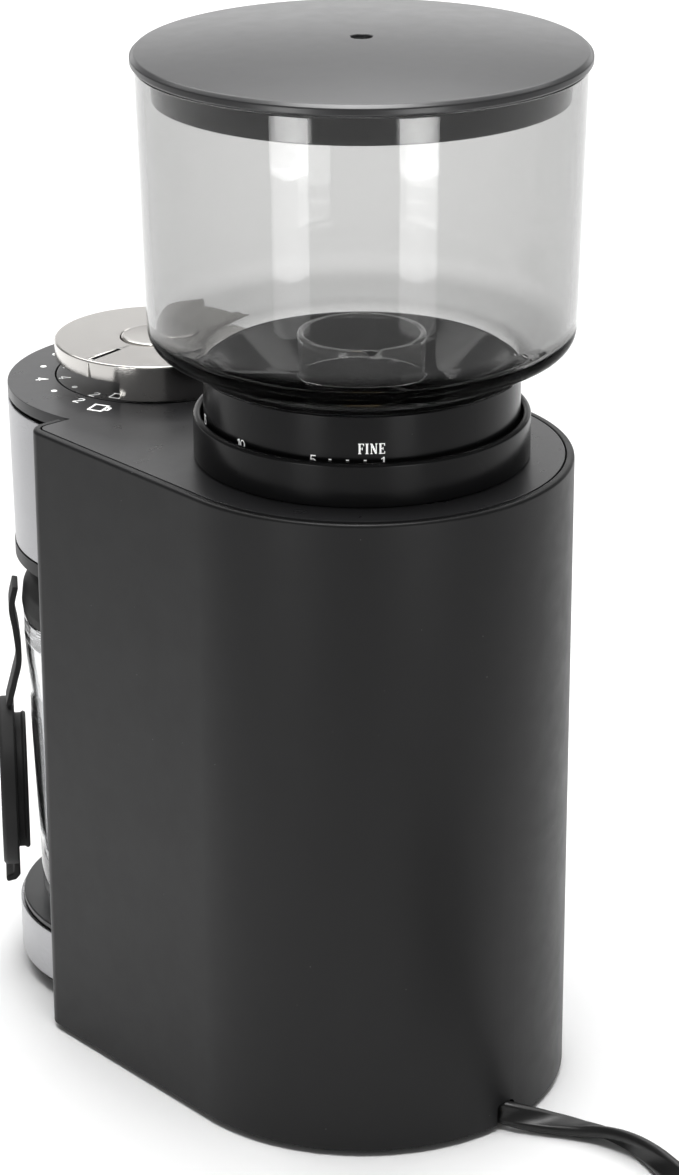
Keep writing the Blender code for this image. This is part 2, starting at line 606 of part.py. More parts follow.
def make_strap():
    """Bent rubber strip from the ring to the lid; the route is (out, up) at its middle."""
    route = [(40.6, 112.6), (41.8, 106.5), (40.9, 99.5), (40.4, 91.5), (41.7, 85.5), (43.6, 78.2)]
    half = 0.8
    left, right = [], []
    for i, (x, z) in enumerate(route):
        before, after = route[max(i - 1, 0)], route[min(i + 1, len(route) - 1)]
        dx, dz = after[0] - before[0], after[1] - before[1]
        size = sqrt(dx * dx + dz * dz)
        nx, nz = -dz / size * half, dx / size * half
        left.append((x + nx, z + nz))
        right.append((x - nx, z - nz))
    outline = [(x * MM - STRAP_PIVOT_R, z * MM - STRAP_PIVOT_Z) for x, z in left + right[::-1]]
    strap = prism("lid_strap", outline, -4.5 * MM, 4.5 * MM)
    strap.data.transform(Matrix.Rotation(pi / 2, 4, "X"))
    hanging(strap)


# ---------------------------------------------------------------- cord

CORD_ROUTE = [(x * MM, HOPPER_Y + y * MM, z * MM) for x, y, z in (
    (-1.8, 48.6, 4.4), (-2.5, 52.0, 4.3), (-5.4, 56.5, 3.6), (-9.4, 61.5, 2.7), (-13.3, 67.0, 2.2),
    (-16.3, 74.0, 2.1), (-17.2, 82.0, 2.1), (-16.6, 90.0, 2.1), (-15.2, 98.5, 2.1),
    (-13.9, 107.0, 2.1), (-13.8, 116.0, 2.1), (-15.8, 125.0, 2.1), (-19.6, 133.5, 2.1),
    (-24.2, 142.0, 2.1))]


def smooth_line(points, per_span=3):
    """Points of a Catmull-Rom curve through the route's points."""
    pts = [Vector(p) for p in points]
    ends = [2 * pts[0] - pts[1], *pts, 2 * pts[-1] - pts[-2]]
    line = []
    for a, b, c, d in zip(ends, ends[1:], ends[2:], ends[3:]):
        for i in range(per_span):
            t = i / per_span
            line.append(0.5 * (2 * b + (c - a) * t + (2 * a - 5 * b + 4 * c - d) * t * t
                               + (3 * b - a - 3 * c + d) * t ** 3))
    return line + [pts[-1]]


def make_cord():
    line = smooth_line(CORD_ROUTE)
    curve = bpy.data.curves.new("cord", "CURVE")
    curve.dimensions = "3D"
    curve.bevel_depth = CORD_TUBE_R
    curve.bevel_resolution = 2
    curve.use_fill_caps = True
    spline = curve.splines.new("POLY")
    spline.points.add(len(line) - 1)
    for point, place in zip(spline.points, line):
        point.co = (*place, 1.0)
    cord = bpy.data.objects.new("cord", curve)
    bpy.context.scene.collection.objects.link(cord)
    finish(cord, "black_rubber")


def make_coil():
    """Outer shape of the wound cord lying behind the grinder."""
    low, high = GAP, GAP + COIL_H
    inner, outer, soft = COIL_R - COIL_HALF_W, COIL_R + COIL_HALF_W, 1.5 * MM
    ring = turned("cord_coil", [
        (inner, low + soft), (inner + soft, low), (outer - soft, low), (outer, low + soft),
        (outer, high - soft), (outer - soft, high), (inner + soft, high), (inner, high - soft)], 32)
    finish(ring, "black_rubber", (COIL_X, COIL_Y, 0))


def make_strain_relief():
    """Tapered sleeve just inside the notch, where the cord is clamped."""
    sleeve = turned("strain_relief", [(0, 0), (4.0 * MM, 0), (4.0 * MM, 6 * MM), (2.7 * MM, 20 * MM),
                                      (0, 20 * MM)], 20)
    sleeve.data.transform(Matrix.Rotation(-pi / 2, 4, "X"))
    finish(sleeve, "black_rubber", (CORD_EXIT.x, CORD_EXIT.y - 20 * MM - 2 * GAP, CORD_EXIT.z))


PLUG_L = 26.0 * MM
PLUG_W = 21.0 * MM
PLUG_T = 11.0 * MM
PLUG_Z = GAP + COIL_H + GAP + PLUG_T / 2


def make_plug():
    """Flat two-blade plug lying across the top of the coil."""
    half, nose = PLUG_W / 2, PLUG_L / 2
    outline = [(-nose, -3.6 * MM), (-nose + 9 * MM, -half + 1.5 * MM), (-nose + 15 * MM, -half),
               (nose - 1.5 * MM, -half), (nose, -half + 1.5 * MM)]
    outline += [(x, -y) for x, y in reversed(outline)]
    low, high = PLUG_Z - PLUG_T / 2, PLUG_Z + PLUG_T / 2
    at, turn = plug_place()
    finish(prism("plug_body", outline, low, high), "black_rubber", at, turn)
    for i, side in enumerate((-1, 1)):
        mid = side * 6.35 * MM
        blade = block(f"plug_blade_{i + 1}", nose + GAP, nose + 16 * MM, mid - 0.75 * MM,
                      mid + 0.75 * MM, PLUG_Z - 3.15 * MM, PLUG_Z + 3.15 * MM)
        finish(blade, "brass", at, turn)


def plug_place():
    """On the coil's far side, pointing along its turns."""
    azimuth = 40.0
    a = radians(azimuth)
    return (COIL_X + COIL_R * cos(a), COIL_Y + COIL_R * sin(a), 0), azimuth - 90.0


def main():
    clear_scene()
    make_body_shell()
    make_front_frame()
    make_top_panel()
    make_bands()
    make_platform()
    make_base_plate()
    make_feet()
    make_dial()
    make_start_button()
    make_dial_fittings()
    make_hopper()
    make_lid()
    make_rings()
    make_burr_carrier()
    make_burrs()
    make_shaft()
    make_impeller()
    make_chamber()
    make_chute()
    make_gears()
    make_gear_plates()
    make_motor()
    make_electrics()
    make_container()
    make_container_lid()
    make_strap()
    make_cord()
    make_coil()
    make_strain_relief()
    make_plug()


main()
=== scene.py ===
"""Looks of the burr coffee grinder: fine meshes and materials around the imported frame.

Outlines are in millimetres and are placed by the boxes of the CAD nodes that they stand for.
Angles are in degrees, from +X towards +Y.
"""

from math import asin, ceil, cos, degrees, pi, radians, sin, tan

import bmesh
import bpy
from mathutils import Matrix, Vector


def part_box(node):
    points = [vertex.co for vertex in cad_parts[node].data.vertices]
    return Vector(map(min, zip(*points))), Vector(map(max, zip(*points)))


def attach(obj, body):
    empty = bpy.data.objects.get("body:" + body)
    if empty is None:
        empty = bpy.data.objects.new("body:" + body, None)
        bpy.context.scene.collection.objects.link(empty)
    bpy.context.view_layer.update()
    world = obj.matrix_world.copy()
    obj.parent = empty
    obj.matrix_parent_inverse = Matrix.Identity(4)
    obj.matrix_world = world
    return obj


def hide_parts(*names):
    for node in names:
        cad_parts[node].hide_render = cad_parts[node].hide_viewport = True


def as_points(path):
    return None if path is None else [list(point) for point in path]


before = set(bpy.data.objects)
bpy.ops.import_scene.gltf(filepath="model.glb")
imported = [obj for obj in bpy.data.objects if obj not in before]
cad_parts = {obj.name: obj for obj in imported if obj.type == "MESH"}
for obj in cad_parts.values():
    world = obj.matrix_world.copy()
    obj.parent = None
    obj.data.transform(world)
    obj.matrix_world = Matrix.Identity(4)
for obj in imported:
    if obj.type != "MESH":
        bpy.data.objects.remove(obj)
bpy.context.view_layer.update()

MM = 0.001
UPRIGHT = Matrix.Rotation(pi / 2, 4, "X")  # stands a plan up, its depth along -Y
FINE, SMALL = 160, 64  # sides of the large and the small round pieces


def corners(node):
    """Lowest and highest corners of a CAD node, in millimetres."""
    low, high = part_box(node)
    return low / MM, high / MM


def axis_of(node):
    low, high = corners(node)
    return (low.x + high.x) / 2, (low.y + high.y) / 2


shell_low, shell_high = corners("body_shell")
BODY_R = shell_high.x
BODY_TOP = shell_high.z
BODY_BOTTOM = shell_low.z
FRONT_Y = shell_low.y
HOPPER_Y = shell_high.y - BODY_R  # the upright axis of hopper, adjusting ring and burrs
JAR_Y = axis_of("container")[1]
DIAL_Y = axis_of("start_button")[1]
head_low, head_high = corners("head_band")
HEAD_R = head_high.x
HEAD_Y = head_low.y + HEAD_R
base_low, base_high = corners("base_band")
BASE_R = base_high.x
BASE_Y = base_low.y + BASE_R


# ---- camera, floor and light

CAMERA_ANGLES = (139.37, 21.70, -0.218)  # azimuth of its level axis, elevation, roll
CAMERA_AT = (0.555225, 0.674361, 0.469693)  # metres
SENSOR_HEIGHT = 36.0
LENS = 111.177


def make_camera():
    """Behind the grinder and to its left as it faces, looking down on it."""
    azimuth, elevation, roll = (radians(a) for a in CAMERA_ANGLES)
    back = Vector((sin(azimuth) * cos(elevation), -cos(azimuth) * cos(elevation), sin(elevation)))
    level = Vector((cos(azimuth), sin(azimuth), 0))
    upward = back.cross(level)
    right = cos(roll) * level + sin(roll) * upward
    upward = cos(roll) * upward - sin(roll) * level
    data = bpy.data.cameras.new("camera")
    data.sensor_fit = "VERTICAL"
    data.sensor_height = SENSOR_HEIGHT
    data.lens = LENS
    camera = bpy.data.objects.new("camera", data)
    turn = Matrix((right, upward, back)).transposed().to_4x4()
    camera.matrix_world = Matrix.Translation(CAMERA_AT) @ turn
    bpy.context.scene.collection.objects.link(camera)
    bpy.context.scene.camera = camera
    bpy.context.scene.view_settings.view_transform = "Standard"


FLOOR_R = 6.0  # metres
FLOOR_LOOK = {"Base Color": (0.9, 0.9, 0.9, 1), "Roughness": 0.9, "Specular IOR Level": 0.1}


def make_floor():
    """A pale plain floor."""
    bm = bmesh.new()
    bmesh.ops.create_circle(bm, cap_ends=True, segments=96, radius=FLOOR_R)
    mesh = bpy.data.meshes.new("floor")
    bm.to_mesh(mesh)
    bm.free()
    floor = bpy.data.objects.new("floor", mesh)
    bpy.context.scene.collection.objects.link(floor)
    mat = bpy.data.materials.new("floor_white")
    mat.use_nodes = True
    shader = mat.node_tree.nodes["Principled BSDF"]
    for key, value in FLOOR_LOOK.items():
        shader.inputs[key].default_value = value
    mesh.materials.append(mat)


def area_light(name, at, look_at, width, height, radiance, spread=180.0):
    """A softbox; its power follows from the radiance of its face."""
    data = bpy.data.lights.new(name, "AREA")
    data.shape = "RECTANGLE"
    data.size = width
    data.size_y = height
    data.energy = radiance * pi * width * height
    data.spread = radians(spread)
    light = bpy.data.objects.new(name, data)
    light.location = at
    light.rotation_euler = (Vector(look_at) - Vector(at)).to_track_quat("-Z", "Y").to_euler()
    bpy.context.scene.collection.objects.link(light)
    return light


# Lamps, in metres and degrees; *_AWAY counts from the middle towards the camera.
WORLD_LIGHT = 0.25
CAMERA_SIDE = 49.0  # azimuth of the camera, seen from the hopper
OVERHEAD_AWAY, OVERHEAD_Z, OVERHEAD_SIZE, OVERHEAD_RADIANCE = -0.9, 1.5, 2.2, 3.0
FILL_AWAY, FILL_Z, FILL_SIZE, FILL_RADIANCE, FILL_SPREAD = 0.16, 0.7, 0.3, 2.5, 80.0
# Parts of the screen and of each strip: name, lowest, highest, radiance
SCREENS = (("low", 0.30, 0.55, 1.7), ("middle", 0.55, 0.85, 0.75), ("high", 0.85, 1.3, 0.1))
SCREEN_AWAY, SCREEN_WIDTH = -1.9, 2.6
STRIP_PARTS = (("foot", 0.005, 0.03, 0.2), ("middle", 0.03, 0.075, 0.5), ("top", 0.075, 0.2, 1.0))
STRIP_SIDES = (("front", 13.5), ("rear", 77.0))  # name, azimuth
STRIP_AWAY, STRIP_WIDTH = 0.6, 0.2
STRIP_TILT = 0.35  # rise of a strip's beam over its run, towards the hopper
STRIP_SPREAD = 70.0


def make_light():
    """Soft studio light: two boxes overhead, a screen beyond the grinder, two low strips."""
    world = bpy.data.worlds.new("studio")
    bpy.context.scene.world = world
    world.use_nodes = True
    world.node_tree.nodes["Background"].inputs["Color"].default_value = (1, 1, 1, 1)
    world.node_tree.nodes["Background"].inputs["Strength"].default_value = WORLD_LIGHT
    toward = Vector((cos(radians(CAMERA_SIDE)), sin(radians(CAMERA_SIDE)), 0))
    over = OVERHEAD_AWAY * toward
    area_light("overhead", (over.x, over.y, OVERHEAD_Z), (over.x, over.y, 0), OVERHEAD_SIZE,
               OVERHEAD_SIZE, OVERHEAD_RADIANCE)
    ahead = FILL_AWAY * toward
    area_light("fill", (ahead.x, ahead.y, FILL_Z), (ahead.x, ahead.y, 0), FILL_SIZE, FILL_SIZE,
               FILL_RADIANCE, FILL_SPREAD)
    beyond = SCREEN_AWAY * toward
    for part, low, high, radiance in SCREENS:
        middle = (low + high) / 2
        area_light(f"screen_{part}", (beyond.x, beyond.y, middle), (0, 0, middle), SCREEN_WIDTH,
                   high - low, radiance)
    for side, azimuth in STRIP_SIDES:
        a = radians(azimuth)
        x, y = STRIP_AWAY * cos(a), HOPPER_Y * MM + STRIP_AWAY * sin(a)
        for part, low, high, radiance in STRIP_PARTS:
            middle = (low + high) / 2
            aim = (0, HOPPER_Y * MM, middle + STRIP_TILT * STRIP_AWAY)
            area_light(f"strip_{side}_{part}", (x, y, middle), aim, STRIP_WIDTH, high - low,
                       radiance, STRIP_SPREAD)


# ---- materials


class Nodes:
    """Short names for the node tree of one material."""

    def __init__(self, name):
        self.material = bpy.data.materials.new(name)
        self.material.use_nodes = True
        self.tree = self.material.node_tree
        self.shader = self.tree.nodes["Principled BSDF"]
        self.place = self.add("ShaderNodeTexCoord").outputs["Object"]

    def add(self, kind):
        return self.tree.nodes.new(kind)

    def link(self, output, target):
        self.tree.links.new(output, target)

    def noise(self, scale, detail=3.0, stretch=None):
        node = self.add("ShaderNodeTexNoise")
        node.inputs["Scale"].default_value = scale
        node.inputs["Detail"].default_value = detail
        place = self.place
        if stretch:
            mapping = self.add("ShaderNodeMapping")
            mapping.inputs["Scale"].default_value = stretch
            self.link(place, mapping.inputs["Vector"])
            place = mapping.outputs["Vector"]
        self.link(place, node.inputs["Vector"])
        return node.outputs["Fac"]

    def spread(self, value, low, high, start=0.3, end=0.7):
        """Maps start..end of a value to low..high."""
        node = self.add("ShaderNodeMapRange")
        for key, number in (("From Min", start), ("From Max", end), ("To Min", low), ("To Max", high)):
            node.inputs[key].default_value = number
        self.link(value, node.inputs["Value"])
        return node.outputs["Result"]

    def mix(self, share, first, second):
        """Mixes two colours, or a colour output with a colour, by share."""
        node = self.add("ShaderNodeMix")
        node.data_type = "RGBA"
        self.link(share, node.inputs["Factor"])
        for socket, value in ((node.inputs["A"], first), (node.inputs["B"], second)):
            target = [s for s in node.inputs if s.name == socket.name and s.type == "RGBA"][0]
            if isinstance(value, tuple):
                target.default_value = (*value, 1.0)
            else:
                self.link(value, target)
        return [s for s in node.outputs if s.type == "RGBA"][0]

    def bump(self, height, depth_mm, strength=1.0):
        node = self.add("ShaderNodeBump")
        node.inputs["Strength"].default_value = strength
        node.inputs["Distance"].default_value = depth_mm * MM
        self.link(height, node.inputs["Height"])
        self.link(node.outputs["Normal"], self.shader.inputs["Normal"])


LOOKS = {}
CLOUD_SCALE = 45.0  # cells per metre of the cloudy colour
GLOSS_SCALE = 180.0  # of the uneven gloss
DUST_SCALE = 170.0
DUST_SIZE = (0.012, 0.024)  # share of a cell: full speck, end of speck
DUST_COLOUR = (0.3, 0.3, 0.3)
EDGE_RANGE = (0.52, 0.6)  # pointiness where wear starts and is full
EDGE_LIFT = 3.0  # how much lighter worn edges are
FLOW_SCALE = 60.0  # cells per metre of the flow marks in clear plastic
FLOW_DEPTH, FLOW_STRENGTH = 0.04, 0.25
CLEAR_ROUGHNESS = (0.01, 0.04)
HOPPER_FLOOR = (11, 14)  # heights between which the hopper's wall takes over from its floor


def scaled(colour, factor):
    return tuple(min(1.0, c * factor) for c in colour)


def surface(name, colour, roughness, metallic=0.0, ior=1.5, grain=2500.0, depth=0.01, mottle=0.05,
            rough_spread=0.03, wear=0.0, stretch=None, specks=0.0, gloss=0.5, painted_emission=0.0):
    """A moulded, painted or brushed surface: grain, cloudy colour and roughness, worn edges, and
    painted light where it is given a glow of its own.
    """
    n = Nodes(name)
    n.shader.inputs["Metallic"].default_value = metallic
    n.shader.inputs["IOR"].default_value = ior
    n.shader.inputs["Specular IOR Level"].default_value = gloss
    # Emission on a surface that is no lamp is painted light: it brightens the surface wherever it
    # lies, in shade too.
    n.shader.inputs["Emission Strength"].default_value = painted_emission
    cloud = n.noise(CLOUD_SCALE, 4.0)
    fine = n.noise(grain, 2.0, stretch)
    tint = n.mix(n.spread(cloud, 0.0, 1.0), scaled(colour, 1 - mottle), scaled(colour, 1 + mottle))
    if wear:
        edges = n.add("ShaderNodeNewGeometry").outputs["Pointiness"]
        tint = n.mix(n.spread(edges, 0.0, wear, *EDGE_RANGE), tint, scaled(colour, EDGE_LIFT))
    if specks:
        dust = n.add("ShaderNodeTexVoronoi")
        dust.inputs["Scale"].default_value = DUST_SCALE
        n.link(n.place, dust.inputs["Vector"])
        shown = n.spread(dust.outputs["Distance"], specks, 0.0, *DUST_SIZE)
        tint = n.mix(shown, tint, DUST_COLOUR)
    n.link(tint, n.shader.inputs["Base Color"])
    rough = n.spread(fine if stretch else n.noise(GLOSS_SCALE), roughness - rough_spread,
                     roughness + rough_spread)
    n.link(rough, n.shader.inputs["Roughness"])
    n.bump(fine, depth)
    LOOKS[name] = n.material


def clear(name, tint, ior=1.49, share=1.0, smoke=0.0, floor_ior=0.0):
    """Clear plastic that lets lamps through, with faint flow marks.

    smoke is its absorption per metre; floor_ior is the refraction of the piece's floor, if weaker.
    """
    n = Nodes(name)
    n.shader.inputs["Base Color"].default_value = (*tint, 1.0)
    n.shader.inputs["Transmission Weight"].default_value = share
    n.shader.inputs["IOR"].default_value = ior
    marks = n.noise(FLOW_SCALE, 2.0)
    n.link(n.spread(marks, *CLEAR_ROUGHNESS), n.shader.inputs["Roughness"])
    n.bump(marks, FLOW_DEPTH, FLOW_STRENGTH)
    through = n.add("ShaderNodeBsdfTransparent")
    through.inputs["Color"].default_value = (*tint, 1.0)
    lamps = n.add("ShaderNodeLightPath").outputs["Is Shadow Ray"]
    mixed = n.add("ShaderNodeMixShader")
    n.link(lamps, mixed.inputs[0])
    n.link(n.shader.outputs["BSDF"], mixed.inputs[1])
    n.link(through.outputs["BSDF"], mixed.inputs[2])
    n.link(mixed.outputs["Shader"], n.tree.nodes["Material Output"].inputs["Surface"])
    if floor_ior:
        height = n.add("ShaderNodeSeparateXYZ")
        n.link(n.place, height.inputs["Vector"])
        low, high = (z * MM for z in HOPPER_FLOOR)
        n.link(n.spread(height.outputs["Z"], floor_ior, ior, low, high), n.shader.inputs["IOR"])
    if smoke:
        dye = n.add("ShaderNodeVolumeAbsorption")
        dye.inputs["Color"].default_value = (0.0, 0.0, 0.0, 1.0)
        dye.inputs["Density"].default_value = smoke
        n.link(dye.outputs["Volume"], n.tree.nodes["Material Output"].inputs["Volume"])
    LOOKS[name] = n.material


ROUND_BRUSH = (1.0, 1.0, 60.0)  # stretches the brush lines round an upright band


def make_looks():
    surface("black_plastic", (0.005, 0.005, 0.0053), 0.42, ior=1.46, grain=2600, depth=0.012,
            specks=0.5, wear=0.25, gloss=0.31)
    surface("collar_black", (0.006, 0.006, 0.0063), 0.22, ior=1.46, grain=3200, depth=0.006,
            specks=0.4, wear=0.3, gloss=0.19)
    surface("panel_grey", (0.02, 0.02, 0.021), 0.3, grain=3000, depth=0.006, specks=0.3,
            wear=0.2)
    surface("lid_grey", (0.022, 0.022, 0.023), 0.29, grain=2800, depth=0.008, mottle=0.02,
            rough_spread=0.015, wear=0.2)
    surface("gloss_black", (0.01, 0.01, 0.01), 0.08, ior=1.7, grain=900, depth=0.003)
    surface("funnel_black", (0.008, 0.008, 0.0085), 0.12, grain=900, depth=0.003)
    clear("smoke_clear", (0.95, 0.95, 0.945), ior=1.42, smoke=158.0, floor_ior=1.06)
    clear("jar_clear", (0.86, 0.865, 0.87))
    clear("guard_clear", (0.86, 0.86, 0.86), ior=1.6, share=0.93)
    surface("satin_nickel", (0.58, 0.56, 0.535), 0.2, 1.0, grain=1800, depth=0.004, mottle=0.02)
    surface("nickel_side", (0.74, 0.72, 0.69), 0.12, 1.0, grain=900, depth=0.003, mottle=0.03,
            stretch=ROUND_BRUSH)
    surface("brushed_steel", (0.66, 0.66, 0.67), 0.3, 1.0, grain=700, depth=0.006, mottle=0.04,
            rough_spread=0.08, stretch=ROUND_BRUSH)
    surface("band_steel", (0.38, 0.38, 0.39), 0.3, 1.0, grain=700, depth=0.006, mottle=0.04,
            rough_spread=0.06, stretch=ROUND_BRUSH)
    surface("burr_steel", (0.5, 0.5, 0.5), 0.35, 1.0, grain=1500, stretch=(1, 1, 8), wear=0.3)
    surface("black_rubber", (0.014, 0.014, 0.014), 0.62, ior=1.45, grain=1800, depth=0.02,
            wear=0.2, gloss=0.35)
    surface("cord_black", (0.01, 0.01, 0.01), 0.36, ior=1.47, grain=1500, depth=0.02, wear=0.1,
            gloss=0.4)
    surface("white_plastic", (0.72, 0.72, 0.69), 0.42, grain=1800)
    # The print glows a little of its own (emission 0.35): painted light that keeps it bright in the
    # shade under the collar and the dial.
    surface("print_white_painted_light", (0.86, 0.86, 0.84), 0.5, grain=4000, depth=0.004, painted_emission=0.35)
    surface("board_green", (0.03, 0.13, 0.05), 0.35, grain=700, depth=0.02)
    surface("brass", (0.72, 0.53, 0.25), 0.28, 1.0, grain=1200, depth=0.006)


# ---- mesh tools


def settle(obj):
    """Makes the modifiers part of the mesh."""
    graph = bpy.context.evaluated_depsgraph_get()
    result = bpy.data.meshes.new_from_object(obj.evaluated_get(graph))
    obj.modifiers.clear()
    obj.data = result
    return obj


def smooth(obj, sharp=32.0):
    """Smooth shading that follows the large faces and breaks at sharp edges."""
    obj.data.shade_smooth()
    obj.data.set_sharp_from_angle(angle=radians(sharp))
    modifier = obj.modifiers.new("weighted", "WEIGHTED_NORMAL")
    modifier.keep_sharp = True
    return settle(obj)


def add_object(name, bm, sharp=32.0):
    bmesh.ops.recalc_face_normals(bm, faces=bm.faces)
    mesh = bpy.data.meshes.new(name)
    bm.to_mesh(mesh)
    bm.free()
    obj = bpy.data.objects.new(name, mesh)
    bpy.context.scene.collection.objects.link(obj)
    return smooth(obj, sharp)


FILLET_STEP = 18  # degrees of a rounding per facet


def fillet(outline):
    """Rounds a closed outline's corners: each point is (u, v) or (u, v, radius)."""
    rounded = []
    for i, point in enumerate(outline):
        here = Vector(point[:2])
        radius = point[2] if len(point) > 2 else 0.0
        if not radius:
            rounded.append(here)
            continue
        before = Vector(outline[i - 1][:2]) - here
        after = Vector(outline[(i + 1) % len(outline)][:2]) - here
        half = before.angle(after) / 2
        reach = min(radius / tan(half), 0.49 * before.length, 0.49 * after.length)
        radius = reach * tan(half)
        inward = (before.normalized() + after.normalized()).normalized()
        centre = here + inward * (radius / sin(half))
        first = here + before.normalized() * reach - centre
        last = here + after.normalized() * reach - centre
        turn = pi - 2 * half
        if first.x * last.y - first.y * last.x < 0:
            turn = -turn
        steps = max(2, ceil(abs(turn) / radians(FILLET_STEP)))
        for k in range(steps + 1):
            a = turn * k / steps
            rounded.append(centre + Vector((first.x * cos(a) - first.y * sin(a),
                                            first.x * sin(a) + first.y * cos(a))))
    return rounded


def lathe(name, outline, steps=FINE, start=0.0, sweep=360.0, sharp=32.0):
    """A solid turned about Z from a closed outline of (radius, height, rounding)."""
    full = abs(sweep) >= 360
    columns = steps if full else steps + 1
    angles = [radians(start + sweep * i / steps) for i in range(columns)]
    bm = bmesh.new()
    rings = []
    for p in fillet(outline):
        if p.x < 1e-6:
            rings.append([bm.verts.new((0, 0, p.y * MM))] * columns)
        else:
            rings.append([bm.verts.new((p.x * cos(a) * MM, p.x * sin(a) * MM, p.y * MM))
                          for a in angles])
    for near, far in zip(rings, rings[1:] + rings[:1]):
        for i in range(steps):
            j = (i + 1) % columns
            quad = list(dict.fromkeys([near[i], near[j], far[j], far[i]]))
            if len(quad) > 2:
                bm.faces.new(quad)
    if not full:
        bm.faces.new([ring[0] for ring in rings])
        bm.faces.new([ring[-1] for ring in rings])
    return add_object(name, bm, sharp)


def prism(name, outline, low, high):
    """A straight solid over a plan outline."""
    bm = bmesh.new()
    face = bm.faces.new([bm.verts.new((x * MM, y * MM, low * MM)) for x, y in outline])
    made = bmesh.ops.extrude_face_region(bm, geom=[face])["geom"]
    top = [v for v in made if isinstance(v, bmesh.types.BMVert)]
    bmesh.ops.translate(bm, verts=top, vec=(0, 0, (high - low) * MM))
    return add_object(name, bm)


def disc(radius, centre=(0, 0), steps=FINE):
    x, y = centre
    return [(x + radius * cos(2 * pi * i / steps), y + radius * sin(2 * pi * i / steps))
            for i in range(steps)]


def block(name, x0, x1, y0, y1, z0, z1):
    return prism(name, [(x0, y0), (x1, y0), (x1, y1), (x0, y1)], z0, z1)


def combine(target, operation, others):
    for other in others:
        modifier = target.modifiers.new("combine", "BOOLEAN")
        modifier.object = other
        modifier.operation = operation
        settle(target)
        bpy.data.objects.remove(other, do_unlink=True)
    return target


def join(target, *others):
    return combine(target, "UNION", others)


def cut(target, *others):
    return combine(target, "DIFFERENCE", others)


def soften(obj, width=0.3, segments=2, angle=50.0, sharp=32.0):
    """Rounds the hard edges."""
    modifier = obj.modifiers.new("soften", "BEVEL")
    modifier.width = width * MM
    modifier.segments = segments
    modifier.limit_method = "ANGLE"
    modifier.angle_limit = radians(angle)
    modifier.miter_outer = "MITER_ARC"
    settle(obj)
    return smooth(obj, sharp)


def place(obj, body, look, slot, *nodes, at=None, turn=0.0):
    """Puts a piece in place on its body, with its material, for the CAD nodes it stands for."""
    if at:
        spin = Matrix.Rotation(radians(turn), 4, "Z")
        obj.matrix_world = Matrix.Translation(Vector(at) * MM) @ spin
    obj.data.materials.clear()
    obj.data.materials.append(LOOKS[look])
    for polygon in obj.data.polygons:
        polygon.material_index = 0
    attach(obj, body)
    if nodes:
        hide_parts(*nodes)
    return obj


def paint(obj, look, test):
    """Gives a second material to the faces whose centre, in millimetres, passes the test."""
    obj.data.materials.append(LOOKS[look])
    for polygon in obj.data.polygons:
        if test(polygon.center / MM, polygon.normal):
            polygon.material_index = len(obj.data.materials) - 1


def turned(node, name, outline, body, look, slot, steps=FINE, **more):
    """A turned piece in place of a CAD node; heights are above that node's lowest point."""
    x, y = axis_of(node)
    obj = lathe(name, outline, steps, **more)
    return place(obj, body, look, slot, node, at=(x, y, corners(node)[0].z))


def line_through(points, per_span):
    """Points of a Catmull-Rom curve through the given ones."""
    pts = [Vector(p) for p in points]
    ends = [2 * pts[0] - pts[1], *pts, 2 * pts[-1] - pts[-2]]
    line = []
    for a, b, c, d in zip(ends, ends[1:], ends[2:], ends[3:]):
        for i in range(per_span):
            t = i / per_span
            line.append(0.5 * (2 * b + (c - a) * t + (2 * a - 5 * b + 4 * c - d) * t * t
                               + (3 * b - a - 3 * c + d) * t ** 3))
    return line + [pts[-1]]


# ---- cord

CORD_W = 6.4
LOBE_R = CORD_W / 4
LOBE_SIDES = 9  # points of each lobe's outline
WAIST = 0.62  # half thickness between the lobes, in lobe radii
CORD_LIFT = 0.3  # least gap under the cord
TWIST_START, TWIST_PER_MM, TWIST_END = 90.0, 4.07, 360.0
CORD_ROUTE = [(x, HOPPER_Y + y, z) for x, y, z in (
    (-1.8, 48.6, 4.4), (-2.5, 52.0, 4.3), (-5.4, 56.5, 3.6), (-9.4, 61.5, 2.7), (-13.3, 67.0, 2.2),
    (-16.3, 74.0, 2.1), (-17.2, 82.0, 2.1), (-16.6, 90.0, 2.1), (-15.2, 98.5, 2.1),
    (-13.9, 107.0, 2.1), (-13.8, 116.0, 2.1), (-15.8, 125.0, 2.1), (-19.6, 133.5, 2.1),
    (-24.2, 142.0, 2.1))]
COIL_R = 32.5
COIL_COLUMN = 3.35  # from the middle of the winding to either column
COIL_ROW, COIL_LOW = 3.3, 2.0  # height of a layer and of the first one
COIL_TURNS = 4
COIL_STEP = 6.0  # degrees per point
LAYER, SWAP_FROM, SWAP = 600.0, 240.0, 120.0  # turn of a layer; where it swaps columns
CLIMB, FINAL_CLIMB = 60.0, 71.0  # turn over which it rises to a layer, to the plug
LEAD_AZIMUTH, LEAD_R, LEAD_IN = 218.5, 41.77, 70.0  # where the lead meets the coil
PLUG_BACK = 62.9  # how far short of a full turn the coil ends


def ease(share):
    share = min(1.0, max(0.0, share))
    return (1 - cos(pi * share)) / 2


